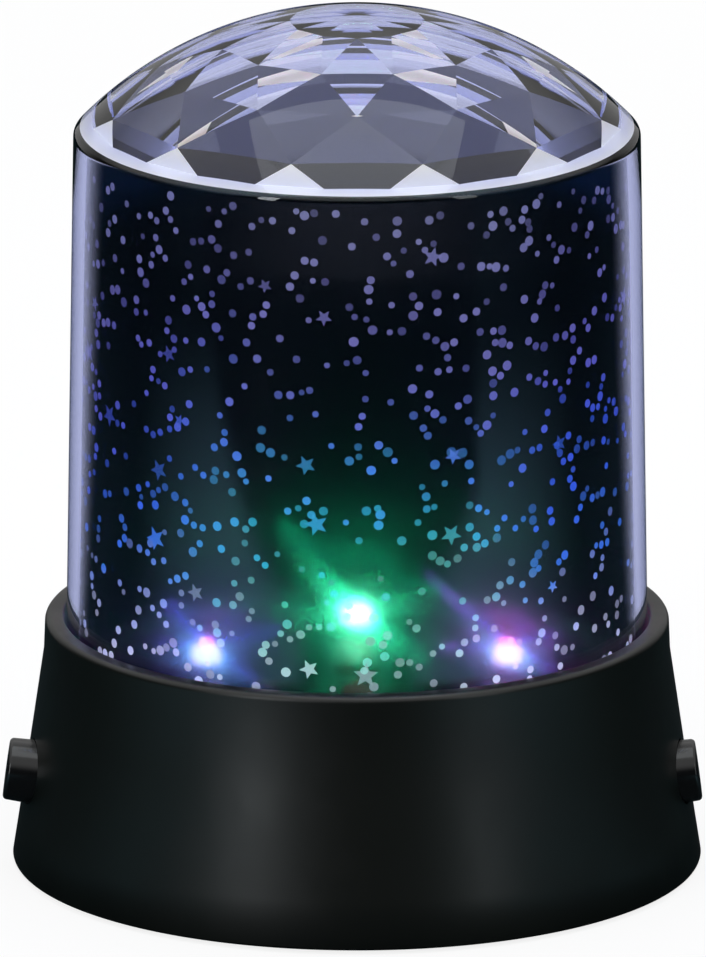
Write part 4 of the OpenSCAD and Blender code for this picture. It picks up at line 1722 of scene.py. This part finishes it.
@dataclass
class Studio:
    """Pale floor, plain world, soft lamps and the camera. None of it is part of the object.

    Reflections see a pool of light on the floor with a dark card in front of the object. Pairs
    are where a change begins and ends: angles in degrees from the front, distances in metres.
    """

    camera_place: Triple = (-0.66 * MM, -2506.5 * MM, 742.7 * MM)
    camera_pitch: float = 15.13
    focal_px: float = 15691.85
    sensor: float = 36.0
    far: float = 20.0
    floor_size: float = 6.0
    floor_colour: Colour = (0.85, 0.85, 0.86)
    floor_glow: float = 1.05
    glow_share: float = 0.8
    card_near: Pair = (-0.28, -0.22)
    card_left: float = -64.0
    card_right: float = 47.0
    card_soft: float = 4.0
    notch: Pair = (0.06, 0.10)
    pool_turn: Pair = (44.0, 96.0)
    pool_reach: Pair = (0.28, 0.50)
    pool_least: Pair = (0.03, 0.05)
    floor_back: Pair = (124.0, 142.0)
    floor_away: Pair = (0.54, 0.60)
    world_back: Pair = (125.0, 150.0)
    world_above: Pair = (0.22, 0.65)
    reflected: float = 0.54
    tint: Colour = (0.44, 0.85, 1.0)
    dim: float = 0.015
    around: float = 0.4
    overhead: float = 0.9
    fill: float = 0.7
    lamp_colour: Colour = (0.92, 0.97, 1.0)
    aim_z: float = 0.05
    top_place: Triple = (0.0, -0.1, 1.5)

    def camera(self) -> None:
        """Place the camera in front of the object, a little above it."""
        data = bpy.data.cameras.new("camera")
        data.sensor_fit = "AUTO"
        data.sensor_width = self.sensor
        data.lens = self.focal_px * self.sensor / FRAME_H
        data.clip_end = self.far
        camera = new_object("camera", data)
        camera.location = self.camera_place
        camera.rotation_euler = (math.radians(90.0 - self.camera_pitch), 0.0, 0.0)
        bpy.context.scene.camera = camera
        bpy.context.scene.view_settings.view_transform = "Standard"

    @staticmethod
    def bearing(graph: Graph, place: Sockets) -> Socket:
        """Return the angle of a place or direction from the front, positive to the right."""
        return graph.math("ARCTAN2", place["X"], graph.math("MULTIPLY", place["Y"], -1.0))

    @staticmethod
    def reach(graph: Graph, place: Sockets) -> Socket:
        """Return how far a place on the floor, split into its parts, is from the object's axis."""
        along = graph.math("MULTIPLY", place["X"], place["X"])
        across = graph.math("MULTIPLY", place["Y"], place["Y"])
        return graph.math("SQRT", graph.math("ADD", along, across))

    @staticmethod
    def turned(graph: Graph, angle: Socket, span: Pair, start: float, end: float) -> Socket:
        """Change a value with the angle from the front, alike on both sides.

        Args:
            graph: the graph.
            angle: the angle from the front.
            span: degrees where the change begins and ends.
            start: the value before it.
            end: the value after it.

        Returns:
            The value.
        """
        low, high = (math.radians(part) for part in span)
        return graph.spread(graph.math("ABSOLUTE", angle), low, high, start, end)

    def beside_card(self, graph: Graph, angle: Socket) -> Socket:
        """Tell what stands to the left and right of the dark card behind the camera.

        Args:
            graph: the graph.
            angle: the direction, from the front and positive to the right.

        Returns:
            1 beside the card and 0 in it, with a soft edge.
        """
        left, right, soft = map(math.radians, (self.card_left, self.card_right, self.card_soft))
        return graph.math(
            "MAXIMUM",
            graph.spread(angle, left - soft, left + soft, 1.0, 0.0),
            graph.spread(angle, right - soft, right + soft, 0.0, 1.0),
        )

    def sheet_lit(self, graph: Graph, place: Sockets) -> Socket:
        """Tell how bright the floor is in reflections: a pool of light with a card in front.

        Args:
            graph: the graph.
            place: the place on the floor, split into its parts.

        Returns:
            1 in the pool and 0 far from it or on the card.
        """
        angle = self.bearing(graph, place)
        near = graph.spread(place["Y"], *self.card_near, 0.0, 1.0)
        lit = graph.math("MAXIMUM", near, self.beside_card(graph, angle))
        aside = graph.math("ABSOLUTE", place["X"])
        least_turned, least_far = self.pool_least
        for share in (
            graph.spread(aside, *self.notch, 0.0, 1.0),
            self.turned(graph, angle, self.pool_turn, 1.0, least_turned),
            graph.spread(self.reach(graph, place), *self.pool_reach, 1.0, least_far),
        ):
            lit = graph.math("MULTIPLY", lit, share)
        return lit

    def floor(self) -> None:
        """Lay a white floor that is paler to the camera than in reflections."""
        mesh = bmesh.new()
        bmesh.ops.create_grid(mesh, x_segments=8, y_segments=8, size=self.floor_size / 2.0)
        floor = finish_mesh(mesh, "floor", None)
        material, graph, output = new_material("floor_white")
        sheet = graph.add("ShaderNodeBsdfDiffuse")
        graph.feed(sheet, Color=opaque(self.floor_colour))
        seen = graph.add("ShaderNodeEmission")
        graph.feed(seen, Color=opaque(WHITE), Strength=self.floor_glow)
        mirrored = graph.add("ShaderNodeEmission")
        place = graph.parts(graph.place())
        lit = self.sheet_lit(graph, place)
        strength = graph.spread(lit, 0.0, 1.0, self.dim, self.reflected)
        strength.node.interpolation_type = "LINEAR"
        graph.feed(mirrored, Color=opaque(self.tint), Strength=strength)
        path = graph.add("ShaderNodeLightPath").outputs
        back = self.turned(graph, self.bearing(graph, place), self.floor_back, 0.0, 1.0)
        away = graph.spread(self.reach(graph, place), *self.floor_away, 0.0, 1.0)
        behind = graph.math("MAXIMUM", back, away)
        bent = graph.math("MULTIPLY", path["Is Transmission Ray"], behind)
        through = graph.math("MAXIMUM", path["Is Camera Ray"], bent)
        shaded = graph.mix_shader(self.glow_share, sheet.outputs[0], seen.outputs[0])
        surface = graph.mix_shader(through, sheet.outputs[0], shaded)
        glossy = graph.math("MULTIPLY", path["Is Glossy Ray"], graph.math("SUBTRACT", 1.0, bent))
        surface = graph.mix_shader(glossy, surface, mirrored.outputs[0])
        graph.join(surface, output.inputs["Surface"])
        floor.data.materials.append(material)
        floor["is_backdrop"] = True

    def world(self) -> None:
        """Surround the object with white, dim in front where only reflections see it."""
        world = bpy.data.worlds.new("studio")
        bpy.context.scene.world = world
        world.use_nodes = True
        graph = Graph(world.node_tree)
        output = graph.add("ShaderNodeOutputWorld")
        way = graph.parts(graph.add("ShaderNodeTexCoord").outputs["Generated"])
        path = graph.add("ShaderNodeLightPath").outputs
        seen = graph.math("MAXIMUM", path["Is Camera Ray"], path["Is Transmission Ray"])
        angle = self.bearing(graph, way)
        behind = self.turned(graph, angle, self.world_back, self.dim, self.around)
        above = graph.spread(way["Z"], *self.world_above, 0.0, self.overhead)
        behind = graph.math("MAXIMUM", behind, above)
        soft = graph.math("MULTIPLY", path["Is Diffuse Ray"], self.fill)
        plain = graph.math("ADD", graph.math("MULTIPLY", path["Is Glossy Ray"], behind), soft)
        background = graph.add("ShaderNodeBackground")
        graph.feed(background, Color=opaque(WHITE), Strength=graph.math("MAXIMUM", seen, plain))
        graph.join(background.outputs[0], output.inputs["Surface"])

    def lamp(self, name: str, size: Pair, power: float) -> Piece:
        """Add a soft lamp.

        Args:
            name: its name.
            size: width and height.
            power: power in watts.

        Returns:
            The lamp, still at the origin and facing down.
        """
        data = bpy.data.lights.new(name, "AREA")
        data.shape = "RECTANGLE"
        data.size, data.size_y = size
        data.energy = power
        data.color = self.lamp_colour
        return new_object(name, data)

    def strip(self, lamp: Piece, angle: float, distance: float) -> None:
        """Stand a lamp upright beside the camera, facing the object.

        Args:
            lamp: the lamp.
            angle: degrees from the front, positive to the right.
            distance: distance from the object.
        """
        turn, height = math.radians(angle), lamp.data.size_y * 0.5
        lamp.location = (distance * math.sin(turn), -distance * math.cos(turn), height)
        aim = Vector((0.0, 0.0, self.aim_z)) - lamp.location
        lamp.rotation_euler = aim.to_track_quat("-Z", "Y").to_euler()

    def build(self) -> None:
        """Build the whole studio."""
        self.camera()
        self.floor()
        self.world()
        self.strip(self.lamp("left_strip", (0.22, 1.0), 5.0), -36.0, 1.6)
        self.strip(self.lamp("right_strip", (0.26, 1.0), 2.0), 44.0, 1.6)
        self.lamp("top_soft", (1.2, 1.2), 6.0).location = self.top_place
        LOG.info("studio: ready")


def write_sizes(frame_box: object) -> None:
    """Gather the frame's box and the dressed model's box; the result is not kept.

    Args:
        frame_box: the box taken straight after loading.
    """

    def plain(value: object) -> object:
        """Return nested vectors as lists of numbers."""
        if isinstance(value, (int, float)):
            return float(value)
        return [plain(part) for part in value]

    {"frame": plain(frame_box), "visual": plain(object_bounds())}


def main() -> None:
    """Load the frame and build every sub-assembly in order."""
    logging.basicConfig(level=logging.INFO, format="%(name)s: %(message)s")
    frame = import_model()
    frame_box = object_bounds()
    nodes = frame["nodes"]
    Studio().build()
    casing = BaseCasing()
    casing.build(nodes)
    PushButton(casing).build(nodes)
    cover = ClearCover()
    cover.build()
    StarFilm(cover).build()
    LampDeck().build(nodes)
    Works().build(nodes)
    write_sizes(frame_box)


if __name__ == "__main__":
    main()
